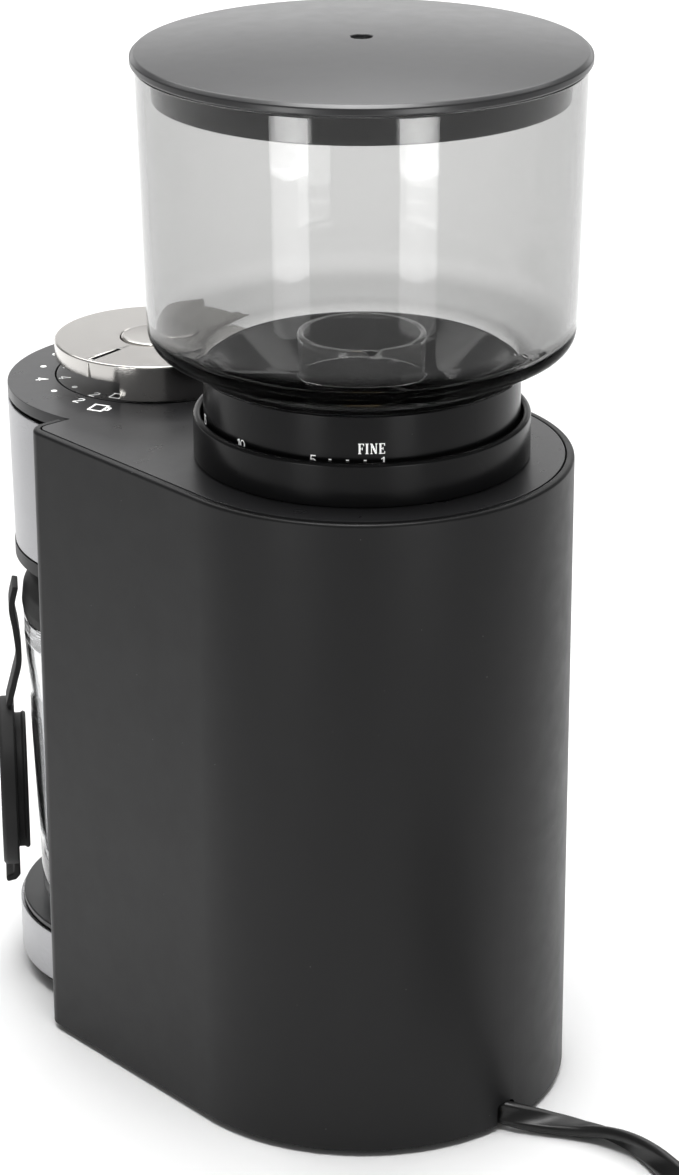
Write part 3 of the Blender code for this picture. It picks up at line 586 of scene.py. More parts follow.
def coil_line():
    """The wound length, clockwise from above: layers of two columns, then up into the plug."""
    x0, y0 = axis_of("cord_coil")
    first = LEAD_AZIMUTH - LEAD_IN
    plug_z = sum(c.z for c in corners("plug_body")) / 2
    end = first - PLUG_BACK + COIL_TURNS * 360.0
    line = []
    t = -LEAD_IN + COIL_STEP
    while t < end + COIL_STEP / 2:
        t_here = min(t, end)
        wound = max(t_here, 0.0)
        layer = int(wound // LAYER)
        in_layer = wound - layer * LAYER
        side = 1 if layer % 2 == 0 else -1  # +1 starts in the outer column
        radius = COIL_R + COIL_COLUMN * side * (1 - 2 * ease((in_layer - SWAP_FROM) / SWAP))
        if t_here < 0:
            radius += (LEAD_R - radius) * (1 - ease(1 + t_here / LEAD_IN))
        z = COIL_LOW + COIL_ROW * (layer + ease((in_layer - LAYER + CLIMB) / CLIMB))
        z += (plug_z - z) * ease((t_here - end + FINAL_CLIMB) / FINAL_CLIMB)
        a = radians(first - t_here)
        line.append((x0 + radius * cos(a), y0 + radius * sin(a), z))
        t += COIL_STEP
    return line


def make_cord():
    """The flat twin lead, which turns over once by the exit; returns it with its middle line."""
    line = line_through(CORD_ROUTE, 4) + [Vector(p) for p in coil_line()]
    twists = []
    run = 0.0
    for i, point in enumerate(line):
        if i:
            run += (point - line[i - 1]).xy.length
        twists.append(radians(min(TWIST_END, TWIST_START + TWIST_PER_MM * run)))
        point.z = max(point.z, LOBE_R * (1 + abs(sin(twists[i]))) + CORD_LIFT)
    section = []
    for side in (1, -1):
        for k in range(LOBE_SIDES):
            a = radians(-90 * side + 180 * k / (LOBE_SIDES - 1))
            section.append((side * LOBE_R + LOBE_R * cos(a), LOBE_R * sin(a)))
        section.append((0.0, side * WAIST * LOBE_R))
    bm = bmesh.new()
    rings = []
    for i, point in enumerate(line):
        ahead = line[min(i + 1, len(line) - 1)] - line[max(i - 1, 0)]
        tangent = ahead.normalized()
        side_way = tangent.cross(Vector((0, 0, 1))).normalized()
        up = side_way.cross(tangent)
        t = twists[i]
        wide = side_way * cos(t) + up * sin(t)
        thin = up * cos(t) - side_way * sin(t)
        rings.append([bm.verts.new((point + wide * u + thin * v) * MM) for u, v in section])
    for near, far in zip(rings, rings[1:]):
        for i in range(len(section)):
            j = (i + 1) % len(section)
            bm.faces.new((near[i], near[j], far[j], far[i]))
    bm.faces.new(rings[0])
    bm.faces.new(rings[-1])
    cord = add_object("mains_cord", bm, 50.0)
    place(cord, "housing", "cord_black", "black_rubber", "cord", "cord_coil")
    return cord, [p * MM for p in line]


PLUG_TURN = -50.0
PLUG_HALF_W, PLUG_NOSE = 10.5, 13.0
GRIP_GROOVES = (2.4, 4.4, 6.4)  # from the neck's end
BLADE_OUT, BLADE_MID, BLADE_HALF_T, BLADE_HALF_W = 16, 6.35, 0.75, 3.15
BLADE_HOLE_R, BLADE_HOLE_AT = 1.6, 12.2


def make_plug():
    """Moulded two-blade plug with a ribbed neck, lying on the coil."""
    low, high = corners("plug_body")
    centre = (low + high) / 2
    half_w, nose = PLUG_HALF_W, PLUG_NOSE
    outline = [(-nose, -3.6), (-nose + 9, -half_w + 1.5), (-nose + 15, -half_w),
               (nose - 1.5, -half_w), (nose, -half_w + 1.5)]
    outline += [(x, -y) for x, y in reversed(outline)]
    thick = high.z - low.z
    body = prism("plug", outline, -thick / 2, thick / 2)
    cut(body, *[block("groove", -nose + g, -nose + g + 0.8, -8, 8, thick / 2 - 0.5, thick)
                for g in GRIP_GROOVES])
    soften(body, 1.4, 3, 40.0)
    place(body, "housing", "cord_black", "black_rubber", "plug_body", at=centre, turn=PLUG_TURN)
    pieces = [body]
    for i, side in enumerate((-1, 1)):
        mid = side * BLADE_MID
        blade = block(f"blade_{i + 1}", nose + 0.3, nose + BLADE_OUT, mid - BLADE_HALF_T,
                      mid + BLADE_HALF_T, -BLADE_HALF_W, BLADE_HALF_W)
        hole = prism("hole", disc(BLADE_HOLE_R, (nose + BLADE_HOLE_AT, 0), 24), -5, 5)
        hole.data.transform(UPRIGHT)
        hole.data.transform(Matrix.Translation((0, mid * MM, 0)))
        soften(cut(blade, hole), 0.25, 2)
        place(blade, "housing", "brass", "brass", f"plug_blade_{i + 1}", at=centre, turn=PLUG_TURN)
        pieces.append(blade)
    return pieces


def make_cord_set():
    cord, path = make_cord()
    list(make_plug())
    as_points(path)


# ---- housing

OPENING = 42.6  # half of the shell's open front
CORNER_R = 5.0
REAR_SIDES = 96  # facets of the half-round rear
RIM, PANEL_T, PANEL_GAP = 2.0, 3.0, 0.3
NOTCH_MID, NOTCH_HALF_W, NOTCH_TOP = -2.6, 3.0, 7.4
RING_HOLE_R, DIAL_HOLE_R, PIN_HOLE_R, PIN_AWAY = 33.8, 26.6, 1.6, 38
NICHE_R, NICHE_WALL = 41.0, 2.4
HEAD_BOTTOM = 122.2
OUTLET_R = 12.2


def half_round(r):
    """Plan of the rear, from +X round to -X."""
    turns = [pi * i / REAR_SIDES for i in range(REAR_SIDES + 1)]
    return [(r * cos(a), HOPPER_Y + r * sin(a)) for a in turns]


def shell_path(inset):
    """Plan of the shell's wall at an inset: open in front, half round behind."""
    r = BODY_R - inset
    corner = max(CORNER_R - inset, 0.6)
    front = FRONT_Y + inset
    steps = 12
    side = [(OPENING, front)]
    for i in range(steps + 1):
        a = -pi / 2 + pi / 2 * i / steps
        side.append((r - corner + corner * cos(a), front + corner + corner * sin(a)))
    return side + half_round(r) + [(-x, y) for x, y in reversed(side)]


def make_shell():
    """The wall's section runs round the plan; with screw bosses and the cord's notch."""
    wall, ledge, top = 2.4, 6, BODY_TOP
    ledge_low = top - 9
    seat = top - PANEL_T - PANEL_GAP
    section = fillet([
        (0, BODY_BOTTOM, 0.4), (0, top, 1.3), (RIM, top, 0.35), (RIM, seat, 0), (ledge, seat, 0.3),
        (ledge, ledge_low, 0.3), (wall, ledge_low, 0), (wall, BODY_BOTTOM, 0.4)])
    bm = bmesh.new()
    rings = [[bm.verts.new((x * MM, y * MM, p.y * MM)) for x, y in shell_path(p.x)] for p in section]
    for near, far in zip(rings, rings[1:] + rings[:1]):
        for i in range(len(near) - 1):
            bm.faces.new((near[i], near[i + 1], far[i + 1], far[i]))
    bm.faces.new([ring[0] for ring in rings])
    bm.faces.new([ring[-1] for ring in rings])
    shell = add_object("housing_shell", bm)
    for i in range(4):
        at = axis_of(f"base_screw_{i + 1}")
        join(shell, prism("boss", disc(5.0, at, 40), 5, 17))
        cut(shell, prism("pilot", disc(1.8, at, 24), 4, 14))
    left, right = NOTCH_MID - NOTCH_HALF_W, NOTCH_MID + NOTCH_HALF_W
    mouth = fillet([(left, -1), (right, -1), (right, NOTCH_TOP, 1.2), (left, NOTCH_TOP, 1.2)])
    rear = HOPPER_Y + BODY_R
    notch = prism("notch", mouth, -rear - 3.5, -rear + 7.5)
    notch.data.transform(UPRIGHT)
    cut(shell, notch)
    smooth(shell)
    place(shell, "housing", "black_plastic", "black_plastic", "body_shell")


def panel_outline(inset, bow_r):
    """The top panel's plan: the shell's inner outline with the round head swelling in front."""
    r = BODY_R - inset
    front = FRONT_Y + inset
    corner = max(CORNER_R - inset, 0.6)
    steps = 8
    side = []
    for i in range(steps + 1):
        a = pi + pi / 2 * i / steps
        side.append((-r + corner + corner * cos(a), front + corner + corner * sin(a)))
    rise = asin((front - HEAD_Y) / bow_r)
    bow = []
    for i in range(REAR_SIDES + 1):
        a = pi - rise + (pi + 2 * rise) * i / REAR_SIDES
        bow.append((bow_r * cos(a), HEAD_Y + bow_r * sin(a)))
    return half_round(r) + side + bow + [(-x, y) for x, y in reversed(side)]


def make_top_panel():
    """The flush top, with holes for the ring, the dial and the interlock pin."""
    low, high = corners("top_panel")
    panel = prism("top_plate", panel_outline(RIM + PANEL_GAP, HEAD_R), low.z, high.z)
    for radius, y, steps in ((RING_HOLE_R, HOPPER_Y, FINE), (DIAL_HOLE_R, DIAL_Y, FINE),
                             (PIN_HOLE_R, HOPPER_Y + PIN_AWAY, 24)):
        cut(panel, prism("hole", disc(radius, (0, y), steps), low.z - 1, high.z + 1))
    soften(panel, 0.25, 2, 60.0)
    place(panel, "housing", "panel_grey", "panel_grey", "top_panel")


def make_front_frame():
    """Niche wall, control head and front base in one moulding."""
    low, high = corners("front_frame")
    jar, head, base = (0, JAR_Y), (0, HEAD_Y), (0, BASE_Y)
    base_top = base_high.z
    lip = 0.4  # how far a lip stands inside its band's face
    part = prism("niche_frame", disc(NICHE_R + NICHE_WALL, jar), 5, high.z)
    cut(part, block("ahead", -60, 60, -150, FRONT_Y - 0.4, 0, 200))
    join(part, prism("base", disc(BASE_R - 1.1, base), low.z, base_top),
         prism("base_lip", disc(BASE_R - lip, base), low.z, low.z + 0.4),
         prism("head", disc(HEAD_R - 1.3, head), HEAD_BOTTOM, high.z),
         prism("head_lip", disc(HEAD_R - lip, head), HEAD_BOTTOM, HEAD_BOTTOM + 3.5))
    cut(part, prism("niche", disc(NICHE_R, jar), base_top, HEAD_BOTTOM),
        prism("under", disc(NICHE_R - 2.6, jar), 0, base_top - 2.5),
        block("heel", -60, 60, FRONT_Y + 2.1, HOPPER_Y, 0, 5),
        prism("inside", disc(38.0, (0, HEAD_Y - 1)), HEAD_BOTTOM + 2.5, 180),
        prism("outlet", disc(OUTLET_R, jar, SMALL), HEAD_BOTTOM - 1, HEAD_BOTTOM + 4),
        block("back", -13.6, 13.6, JAR_Y + 30, JAR_Y + 50, 127.5, 142))
    soften(part, 0.3, 2, 60.0)
    place(part, "housing", "black_plastic", "black_plastic", "front_frame")


def make_bands():
    """The metal bands, which end where they meet the shell."""
    for node, name, centre_y, radius, slant in (("head_band", "head_trim", HEAD_Y, HEAD_R, 0.6),
                                                ("base_band", "base_trim", BASE_Y, BASE_R, 0.0)):
        low, high = corners(node)
        tall = high.z - low.z
        reach = degrees(asin((high.y - centre_y) / radius))
        outline = [(radius - max(slant + 0.4, 0.8), 0), (radius - slant, 0, 0.25),
                   (radius, tall, 0.25), (radius - 0.8, tall)]
        band = lathe(name, outline, FINE, reach, -180 - 2 * reach)
        place(band, "housing", "band_steel", "brushed_steel", node, at=(0, centre_y, low.z))


def make_platform():
    """The container's stand, narrower inside the niche."""
    low, high = corners("platform_mat")
    wide, narrow = 41.4, 40.6
    outline = []
    for x, y in disc(1.0):
        radius = wide if JAR_Y + wide * y < FRONT_Y - 1.5 else narrow
        outline.append((radius * x, radius * y))
    mat = soften(prism("platform", outline, 0, high.z - low.z), 0.4, 3, 60.0)
    place(mat, "housing", "panel_grey", "panel_grey", "platform_mat", at=(0, JAR_Y, low.z))


def make_feet():
    for i in range(4):
        turned(f"foot_{i + 1}", f"rubber_foot_{i + 1}",
               [(0, 0.3), (3.6, 0.3, 0.3), (4.0, 0, 0.2), (5.2, 0, 0.4), (5.5, 1.8, 0.2), (0, 1.8)],
               "housing", "black_rubber", "black_rubber", SMALL)


# ---- controls

WINDOW_END = 31.5  # azimuth where the dial's full-height side starts
POINTER_AZIMUTH = 11.5
POINTER_FROM, POINTER_TO, POINTER_HALF_W = 14.3, 24.9, 0.65


def make_dial():
    """The dial, open below its front half, and the button in it."""
    low, high = corners("dial")
    radius = high.x
    tall = high.z - low.z
    disc_low = tall - 4.5
    hole = 9.35
    dial = lathe("timer_dial", [(hole, disc_low), (radius, disc_low), (radius, tall, 0.5),
                                (hole, tall, 0.3)])
    skirt = lathe("skirt", [(radius - 2.6, 0), (radius, 0, 0.2), (radius, disc_low + 1),
                            (radius - 2.6, disc_low + 1)], 80, WINDOW_END, 180.0)
    join(dial, skirt)
    pointer = block("pointer", POINTER_FROM, POINTER_TO, -POINTER_HALF_W, POINTER_HALF_W,
                    tall - 0.6, tall + 1)
    tick = block("tick", radius - 0.35, radius + 1, -0.25, 0.25, disc_low - 1, tall - 0.7)
    pointing = Matrix.Rotation(radians(POINTER_AZIMUTH), 4, "Z")
    straight = pointing.inverted()
    for cutter in (pointer, tick):
        cutter.data.transform(pointing)
        cut(dial, cutter)
    smooth(dial)
    place(dial, "control_dial", "satin_nickel", "satin_nickel", "dial", at=(0, DIAL_Y, low.z))

    def on_side(at, normal):
        return at.xy.length > radius - 0.3 and abs(normal.z) < 0.5

    def in_pointer(at, normal):
        at = straight @ at
        inside = POINTER_FROM - 0.3 < at.x < POINTER_TO + 0.1 and abs(at.y) < POINTER_HALF_W + 0.15
        return inside and at.z > tall - 0.65 and (normal.z < 0.5 or at.z < tall - 0.3)

    paint(dial, "nickel_side", on_side)
    paint(dial, "black_plastic", in_pointer)
    low, high = corners("start_button")
    rise = high.z - low.z
    head = rise - 4.3
    turned("start_button", "push_button", [
        (0, 0), (2.4, 0, 0.3), (2.4, head), (9.0, head, 0.3), (9.0, rise, 0.7),
        (7.7, rise - 0.15, 0.5), (0, rise - 0.3)], "dial_button", "satin_nickel", "satin_nickel")


def make_label_disc():
    turned("label_disc", "timer_plate", [(5.2, 0), (26.2, 0), (26.2, 2.6, 0.15), (5.2, 2.6, 0.2)],
           "housing", "panel_grey", "panel_grey")


def stroke(bm, x0, y0, x1, y1, width, height):
    """One straight printed line, as a thin solid."""
    a, b = Vector((x0, y0)), Vector((x1, y1))
    along = (b - a).normalized()
    across = Vector((-along.y, along.x)) * width / 2
    ring = [a - across, b - across, b + across, a + across]
    lower = [bm.verts.new((p.x, p.y, -height)) for p in ring]
    upper = [bm.verts.new((p.x, p.y, height)) for p in ring]
    bm.faces.new(lower[::-1])
    bm.faces.new(upper)
    for i in range(4):
        j = (i + 1) % 4
        bm.faces.new((lower[i], lower[j], upper[j], upper[i]))


PRINT_H = 0.03
# Strokes of the print, in a box one unit high: x0, y0, x1, y1, width
SERIF = {
    "F": [(0.25, 0, 0.25, 1, 0.17), (0.06, 0.965, 0.78, 0.965, 0.07), (0.06, 0.035, 0.46, 0.035, 0.07),
          (0.25, 0.5, 0.6, 0.5, 0.07), (0.75, 1, 0.75, 0.76, 0.07), (0.58, 0.64, 0.58, 0.36, 0.06)],
    "I": [(0.3, 0, 0.3, 1, 0.18), (0.1, 0.965, 0.5, 0.965, 0.07), (0.1, 0.035, 0.5, 0.035, 0.07)],
    "N": [(0.2, 0, 0.2, 1, 0.08), (0.8, 0, 0.8, 1, 0.08), (0.2, 0.97, 0.78, 0.05, 0.18),
          (0.04, 0.965, 0.26, 0.965, 0.07), (0.68, 0.965, 0.95, 0.965, 0.07),
          (0.06, 0.035, 0.36, 0.035, 0.07)],
    "E": [(0.25, 0, 0.25, 1, 0.17), (0.06, 0.965, 0.8, 0.965, 0.07), (0.06, 0.035, 0.82, 0.035, 0.07),
          (0.25, 0.5, 0.6, 0.5, 0.07), (0.77, 1, 0.77, 0.76, 0.07), (0.79, 0, 0.79, 0.24, 0.07),
          (0.58, 0.64, 0.58, 0.36, 0.06)],
}
DIGITS = {
    "0": [(0.1, 0.25, 0.1, 0.75, 0.13), (0.6, 0.25, 0.6, 0.75, 0.13), (0.12, 0.78, 0.28, 0.96, 0.1),
          (0.24, 0.95, 0.46, 0.95, 0.1), (0.42, 0.96, 0.58, 0.78, 0.1), (0.12, 0.22, 0.28, 0.04, 0.1),
          (0.24, 0.05, 0.46, 0.05, 0.1), (0.42, 0.04, 0.58, 0.22, 0.1)],
    "1": [(0.35, 0, 0.35, 1, 0.15), (0.12, 0.78, 0.38, 0.96, 0.1)],
    "2": [(0.08, 0.72, 0.2, 0.92, 0.1), (0.17, 0.95, 0.5, 0.95, 0.1), (0.5, 0.94, 0.6, 0.7, 0.11),
          (0.6, 0.72, 0.08, 0.06, 0.12), (0.06, 0.05, 0.64, 0.05, 0.1)],
    "4": [(0.48, 0, 0.48, 1, 0.12), (0.5, 0.98, 0.06, 0.32, 0.1), (0.04, 0.3, 0.66, 0.3, 0.1)],
    "5": [(0.14, 0.5, 0.18, 1, 0.11), (0.16, 0.95, 0.6, 0.95, 0.11), (0.16, 0.56, 0.42, 0.6, 0.1),
          (0.4, 0.6, 0.6, 0.42, 0.11), (0.6, 0.44, 0.58, 0.18, 0.12), (0.6, 0.2, 0.38, 0.05, 0.11),
          (0.42, 0.05, 0.08, 0.08, 0.1)],
    "6": [(0.1, 0.2, 0.1, 0.7, 0.12), (0.1, 0.68, 0.3, 0.95, 0.11), (0.28, 0.95, 0.58, 0.93, 0.1),
          (0.12, 0.18, 0.28, 0.04, 0.1), (0.26, 0.05, 0.46, 0.05, 0.1), (0.44, 0.04, 0.6, 0.2, 0.1),
          (0.6, 0.18, 0.6, 0.4, 0.12), (0.6, 0.38, 0.44, 0.55, 0.1), (0.46, 0.55, 0.12, 0.5, 0.1)],
    "8": [(0.1, 0.16, 0.1, 0.38, 0.12), (0.6, 0.16, 0.6, 0.38, 0.12), (0.13, 0.64, 0.13, 0.82, 0.11),
          (0.57, 0.64, 0.57, 0.82, 0.11), (0.12, 0.4, 0.34, 0.53, 0.1), (0.58, 0.4, 0.36, 0.53, 0.1),
          (0.14, 0.62, 0.34, 0.53, 0.1), (0.56, 0.62, 0.36, 0.53, 0.1), (0.14, 0.84, 0.28, 0.95, 0.1),
          (0.26, 0.95, 0.44, 0.95, 0.1), (0.42, 0.95, 0.56, 0.84, 0.1), (0.12, 0.14, 0.28, 0.05, 0.1),
          (0.26, 0.05, 0.44, 0.05, 0.1), (0.42, 0.05, 0.58, 0.14, 0.1)],
}


def put(bm, before, move):
    """Moves the print made since before, flat and in millimetres, on to its surface."""
    for vert in set(bm.verts) - before:
        vert.co = move(*vert.co)


def word(bm, text, glyphs, height, squeeze, move):
    """Prints a word, centred."""
    wide, gap = squeeze * height, 0.2
    spans = [(min(min(x0, x1) for x0, _, x1, _, _ in glyphs[letter]),
              max(max(x0, x1) for x0, _, x1, _, _ in glyphs[letter])) for letter in text]
    cursor = -(sum(right - left for left, right in spans) + gap * (len(text) - 1)) / 2
    for letter, (left, right) in zip(text, spans):
        for x0, y0, x1, y1, width in glyphs[letter]:
            before = set(bm.verts)
            stroke(bm, (cursor + x0 - left) * wide, (y0 - 0.5) * height,
                   (cursor + x1 - left) * wide, (y1 - 0.5) * height, width * height, PRINT_H)
            put(bm, before, move)
        cursor += right - left + gap


def on_ring(radius, azimuth, height):
    """Moves flat print on to an upright cylinder, read from outside."""
    def move(x, y, z):
        a = radians(azimuth) + x / radius
        return Vector(((radius + z) * cos(a), (radius + z) * sin(a), height + y))
    return move


def on_disc(radius, azimuth, height):
    """Moves flat print on to a level disc, its top towards the middle."""
    a = radians(azimuth)
    def move(x, y, z):
        flat = Vector((radius - y, x, height + z))
        return Matrix.Rotation(a, 3, "Z") @ flat
    return move


RING_STEP, RING_MARKS, RING_FIRST = 6.13, 16, 56.2  # degrees apart, how many, azimuth of mark 1
DIAL_STEP, DIAL_FIRST = 20.0, 11.3
DIAL_ROWS = ((30.3, 3.4, 32.6, 4.4), (24.3, 3.2, 22.3, 3.3))  # radius and size of scale and sign
SIGN_AZIMUTH = 25.0


def make_ring_print():
    """Fineness scale: numbers low on the adjusting ring, and a word above its fine end."""
    low, high = corners("adjusting_ring")
    radius = high.x
    row = corners("collar")[1].z - low.z - 0.35
    bm = bmesh.new()
    word(bm, "FINE", SERIF, 2.6, 0.72, on_ring(radius, 52.3, 13.7))
    for number in range(1, RING_MARKS + 1):
        azimuth = RING_FIRST - RING_STEP * (number - 1)
        if number == 1 or number % 5 == 0:
            word(bm, str(number), DIGITS, 2.4, 1.1, on_ring(radius, azimuth, row))
        elif number < 5:
            before = set(bm.verts)
            stroke(bm, -0.35, 0, 0.35, 0, 0.3, PRINT_H)
            put(bm, before, on_ring(radius, azimuth, row + 0.4))
    bm.transform(Matrix.Scale(MM, 4))
    place(add_object("fineness_scale", bm), "adjuster", "print_white_painted_light", "white_plastic",
          at=(*axis_of("adjusting_ring"), low.z))


def cup_icon(bm, move, size):
    """Outline of a cup, a generic sign for the amount."""
    before = set(bm.verts)
    for x0, y0, x1, y1 in ((-0.5, 0.5, 0.5, 0.5), (-0.42, 0.5, -0.42, -0.5), (0.42, 0.5, 0.42, -0.5),
                           (-0.45, -0.5, 0.45, -0.5), (0.42, 0.22, 0.72, 0.22),
                           (0.7, 0.22, 0.7, -0.2), (0.42, -0.2, 0.72, -0.2)):
        stroke(bm, x0 * size, y0 * size, x1 * size, y1 * size, 0.14 * size, PRINT_H)
    put(bm, before, move)


def make_timer_print():
    """Timer scale on the panel round the dial, and a second row seen in the dial's window."""
    level = BODY_TOP + PRINT_H
    bm = bmesh.new()
    for i, text in enumerate(("2", "", "4", "", "6", "", "8", "", "10")):
        for radius, size, _, _ in DIAL_ROWS:
            move = on_disc(radius, DIAL_FIRST - DIAL_STEP * i, level)
            before = set(bm.verts)
            if text:
                word(bm, text, DIGITS, size, 1.0, move)
            else:
                dot = 0.24 * size
                bmesh.ops.create_cone(bm, cap_ends=True, segments=20, radius1=dot, radius2=dot,
                                      depth=2 * PRINT_H)
                put(bm, before, move)
    for _, _, radius, size in DIAL_ROWS:
        cup_icon(bm, on_disc(radius, SIGN_AZIMUTH, level), size)
    bm.transform(Matrix.Scale(MM, 4))
    place(add_object("timer_scale", bm), "housing", "print_white_painted_light", "white_plastic",
          at=(0, DIAL_Y, 0))


# ---- hopper


def make_hopper():
    """The hopper and its domed lid with the plug ring."""
    turned("hopper", "bean_hopper", [
        (38.6, 0, 0.2), (40.6, 0, 0.5), (42.4, 2.6, 2.0), (52.3, 7.2, 5.5), (54.1, 75.3, 0.5),
        (52.2, 75.3, 0.5), (50.4, 9.5, 3.5), (41.5, 5.2, 1.5), (38.6, 4.3, 0.4)],
        "hopper_body", "smoke_clear", "smoke_clear", 2 * FINE)
    hole, crown, edge, fall, plug_top = 2.6, 13.4, 54.2, 2.9, 7.7
    radii = [hole + (edge - hole) * i / 10 for i in range(1, 10)]
    dome = [(r, crown - fall * (r / edge) ** 2) for r in radii]
    lid = turned("hopper_lid", "bean_lid", [
        (hole, crown, 0.4), *dome, (edge, crown - fall, 0.8), (55.14, 9.6, 0.6), (55.14, 8.2, 0.4),
        (54.6, plug_top, 0.2), (50.45, plug_top), (50.2, 0, 0.4), (48.4, 0, 0.4), (48.4, 7.0),
        (20, 10.6), (hole, 11.1, 0.3)], "hopper_cover", "lid_grey", "panel_grey")
    paint(lid, "gloss_black", lambda at, normal: at.z < plug_top - 0.2 and at.xy.length < 50.5)


def make_rings():
    turned("collar", "ring_collar", [(39.6, 0), (41.6, 0), (41.6, 10.85, 1.0), (39.6, 10.85, 0.9)],
           "housing", "collar_black", "black_plastic")
    turned("adjusting_ring", "fineness_ring", [
        (36.6, 0), (39.05, 0), (39.05, 21.8, 0.5), (36.6, 21.8, 0.4)],
        "adjuster", "collar_black", "black_plastic")


RIBS, RIB_FROM, RIB_HALF_T, RIB_LOW = 3, 75, 1.0, 178
VEE_AZIMUTH = 59


def make_funnel():
    """The ribbed bean funnel, and the clear ring with a notch in its middle."""
    low = corners("upper_burr_carrier")[0]
    funnel = lathe("bean_funnel", [
        (33.0, 0), (33.0, 18.7), (36.0, 19.1), (36.0, 40.7), (37.75, 40.7), (37.75, 42.4, 0.5),
        (36.4, 42.4, 0.6), (20.0, 29.0, 6.0), (15.8, 24.0, 3.0), (15.8, 13.5), (27.6, 13.5),
        (27.6, 0)])
    foot = RIB_LOW - low.z
    top = foot + 12.4
    outline = fillet([(13.0, foot), (24.0, foot), (33.0, foot + 8), (33.0, top, 1.5),
                      (13.0, top, 1.5)])
    for i in range(RIBS):
        rib = prism("rib", outline, -RIB_HALF_T, RIB_HALF_T)
        rib.data.transform(Matrix.Rotation(radians(RIB_FROM + 360 / RIBS * i), 4, "Z") @ UPRIGHT)
        join(funnel, rib)
    smooth(funnel, 40.0)
    place(funnel, "adjuster", "funnel_black", "gloss_black", "upper_burr_carrier",
          at=(0, HOPPER_Y, low.z))
    guard = lathe("throat_ring", [(14.4, 0, 0.2), (15.4, 0, 0.2), (15.9, 9.7, 0.6),
                                  (14.2, 9.7, 0.6)])
    vee = prism("vee", [(-3.4, 10.5), (3.4, 10.5), (0.5, 7.9), (-0.5, 7.9)], 10, 20)
    vee.data.transform(Matrix.Rotation(radians(VEE_AZIMUTH + 90), 4, "Z") @ UPRIGHT)
    cut(guard, vee)
    smooth(guard)
    place(guard, "adjuster", "guard_clear", "smoke_clear", "bean_guard",
          at=(0, HOPPER_Y, corners("bean_guard")[0].z))


# ---- container


def make_container():
    turned("container", "grounds_jar", [
        (0, 0), (34.5, 0, 0.8), (36.0, 1.5, 0.8), (37.9, 56.8), (38.7, 76.8, 1.0), (38.7, 82.5, 0.4),
        (35.7, 82.5), (35.7, 91.8, 0.4), (33.5, 91.8, 0.4), (33.5, 80.8, 1.0), (36.4, 75.8, 1.0),
        (35.0, 17.8), (33.6, 4.3, 1.5), (0, 3.7)], "jar", "jar_clear", "smoke_clear")
    turned("container_ring", "jar_mouth", [
        (36.0, 0), (38.6, 0, 0.4), (39.0, 3.0, 2.0), (38.5, 7.5, 3.0), (36.4, 11.5, 1.6),
        (33.8, 12.1, 0.5), (33.8, 9.3), (36.0, 9.3)], "jar", "black_rubber", "black_rubber")


HANG_ANGLE = -35.0  # side of the container on which its lid hangs
PIVOT_R, PIVOT_Z = 40.8, 112.0
TAB_HALF_W, STRAP_HALF_W, STRAP_HALF_T = 6, 4.5, 0.8
STRAP_ROUTE = ((40.6, 112.6), (41.8, 106.5), (40.9, 99.5), (40.4, 91.5), (41.7, 85.5),
               (43.6, 78.2))  # distance from the container's axis, height


def hang(obj, node):
    """Stands a piece, modelled with +X away from the container, at the strap's pivot."""
    a = radians(HANG_ANGLE)
    at = (PIVOT_R * cos(a), JAR_Y + PIVOT_R * sin(a), PIVOT_Z)
    place(obj, "jar_cap", "black_rubber", "black_rubber", node, at=at, turn=HANG_ANGLE)


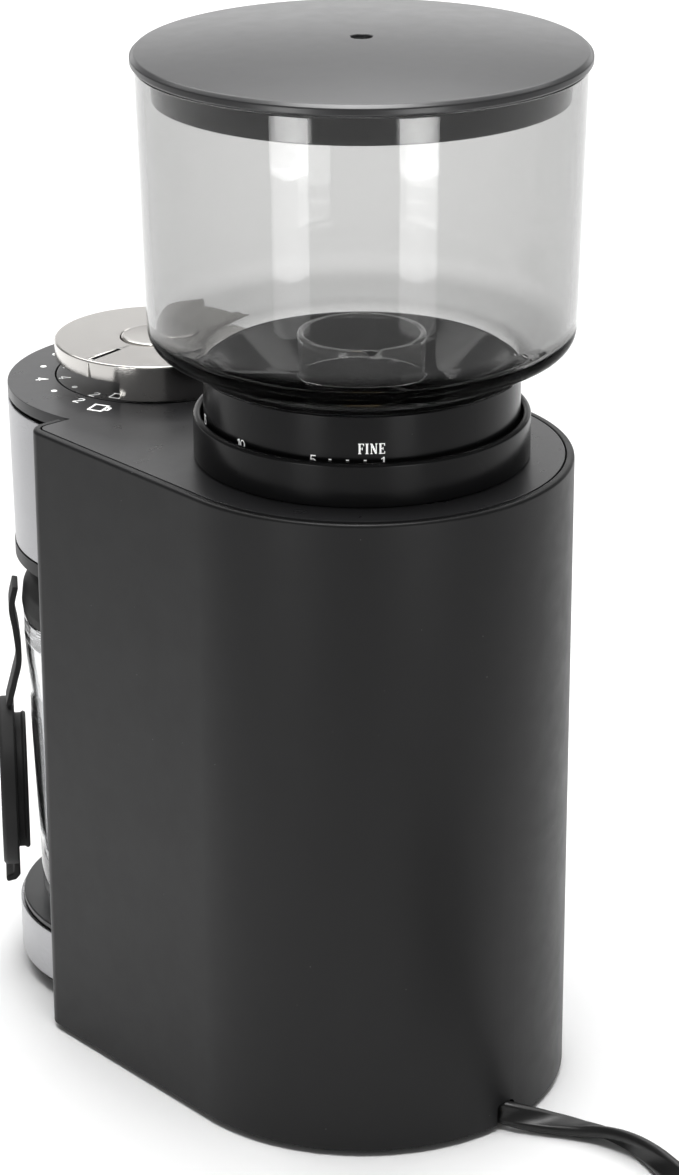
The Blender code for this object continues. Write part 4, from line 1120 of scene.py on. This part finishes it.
def make_jar_lid():
    """The container's lid with its tab, hanging by the rubber strap."""
    inner, outer, plug = 42.2 - PIVOT_R, 46.6 - PIVOT_R, 39.2 - PIVOT_R
    drop = 54.5 - PIVOT_Z
    lid_r, plug_r = 23.0, 18.3
    lid = lathe("jar_lid", [
        (0, inner), (plug_r - 2.6, inner), (plug_r - 2.6, plug, 0.4), (plug_r, plug, 0.5),
        (plug_r + 0.5, plug + 0.7, 0.4), (plug_r, plug + 1.4, 0.4), (plug_r, inner, 0.3),
        (lid_r - 0.4, inner, 0.3), (lid_r, inner + 0.5, 0.3), (lid_r, outer, 1.2),
        (lid_r - 3.0, outer, 0.5), (lid_r - 3.8, outer - 0.6, 0.5), (0, outer - 0.6)], 128)
    lid.data.transform(Matrix.Translation((0, 0, drop * MM)) @ Matrix.Rotation(pi / 2, 4, "Y"))
    low = drop - lid_r
    tab = prism("tab", fillet([
        (inner, low + 3), (inner + 1.8, low + 3), (inner + 1.8, low - 2.6, 0.8),
        (outer - 0.4, low - 3.4, 0.8), (outer - 0.6, low - 5.2, 0.6), (inner + 1.2, low - 4.6, 1.0),
        (inner, low - 3.2, 1.0)]), -TAB_HALF_W, TAB_HALF_W)
    tab.data.transform(UPRIGHT)
    soften(tab, 0.5, 3, 50.0)
    join(lid, tab)
    smooth(lid, 40.0)
    hang(lid, "container_lid")
    line = line_through([(x - PIVOT_R, z - PIVOT_Z, 0) for x, z in STRAP_ROUTE], 6)
    outer_side, inner_side = [], []
    for i, p in enumerate(line):
        way = (line[min(i + 1, len(line) - 1)] - line[max(i - 1, 0)]).normalized()
        across = Vector((-way.y, way.x, 0)) * STRAP_HALF_T
        outer_side.append((p + across).xy)
        inner_side.append((p - across).xy)
    strap = prism("jar_strap", outer_side + inner_side[::-1], -STRAP_HALF_W, STRAP_HALF_W)
    strap.data.transform(UPRIGHT)
    soften(strap, 0.35, 2, 50.0)
    hang(strap, "lid_strap")


# ---- the rest

INNER_LOOKS = {
    "black_plastic": "base_plate dial_shaft rotary_switch start_switch hopper_switch",
    "black_rubber": "chamber_gasket strain_relief",
    "brushed_steel": "base_screw_1 base_screw_2 base_screw_3 base_screw_4 burr_shaft motor_can "
                     "shaft_bearing_lower shaft_bearing_upper motor_mount motor_rotor",
    "burr_steel": "lower_burr upper_burr",
    "white_plastic": "impeller grinding_chamber outlet_chute drive_gear gearbox_cover "
                     "motor_end_cap switch_plunger",
    "board_green": "control_board power_board",
    "brass": "burr_nut motor_pinion",
}


def dress_inner_nodes():
    """Inner CAD nodes keep their shape and get materials and smooth shading."""
    for look, names in INNER_LOOKS.items():
        for name in names.split():
            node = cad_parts[name]
            node.data.materials.clear()
            node.data.materials.append(LOOKS[look])
            node.data.shade_smooth()
            node.data.set_sharp_from_angle(angle=radians(32))


make_camera()
make_floor()
make_light()
make_looks()
make_cord_set()
make_shell()
make_top_panel()
make_front_frame()
make_bands()
make_platform()
make_feet()
make_dial()
make_label_disc()
make_timer_print()
make_hopper()
make_rings()
make_ring_print()
make_funnel()
make_container()
make_jar_lid()
dress_inner_nodes()
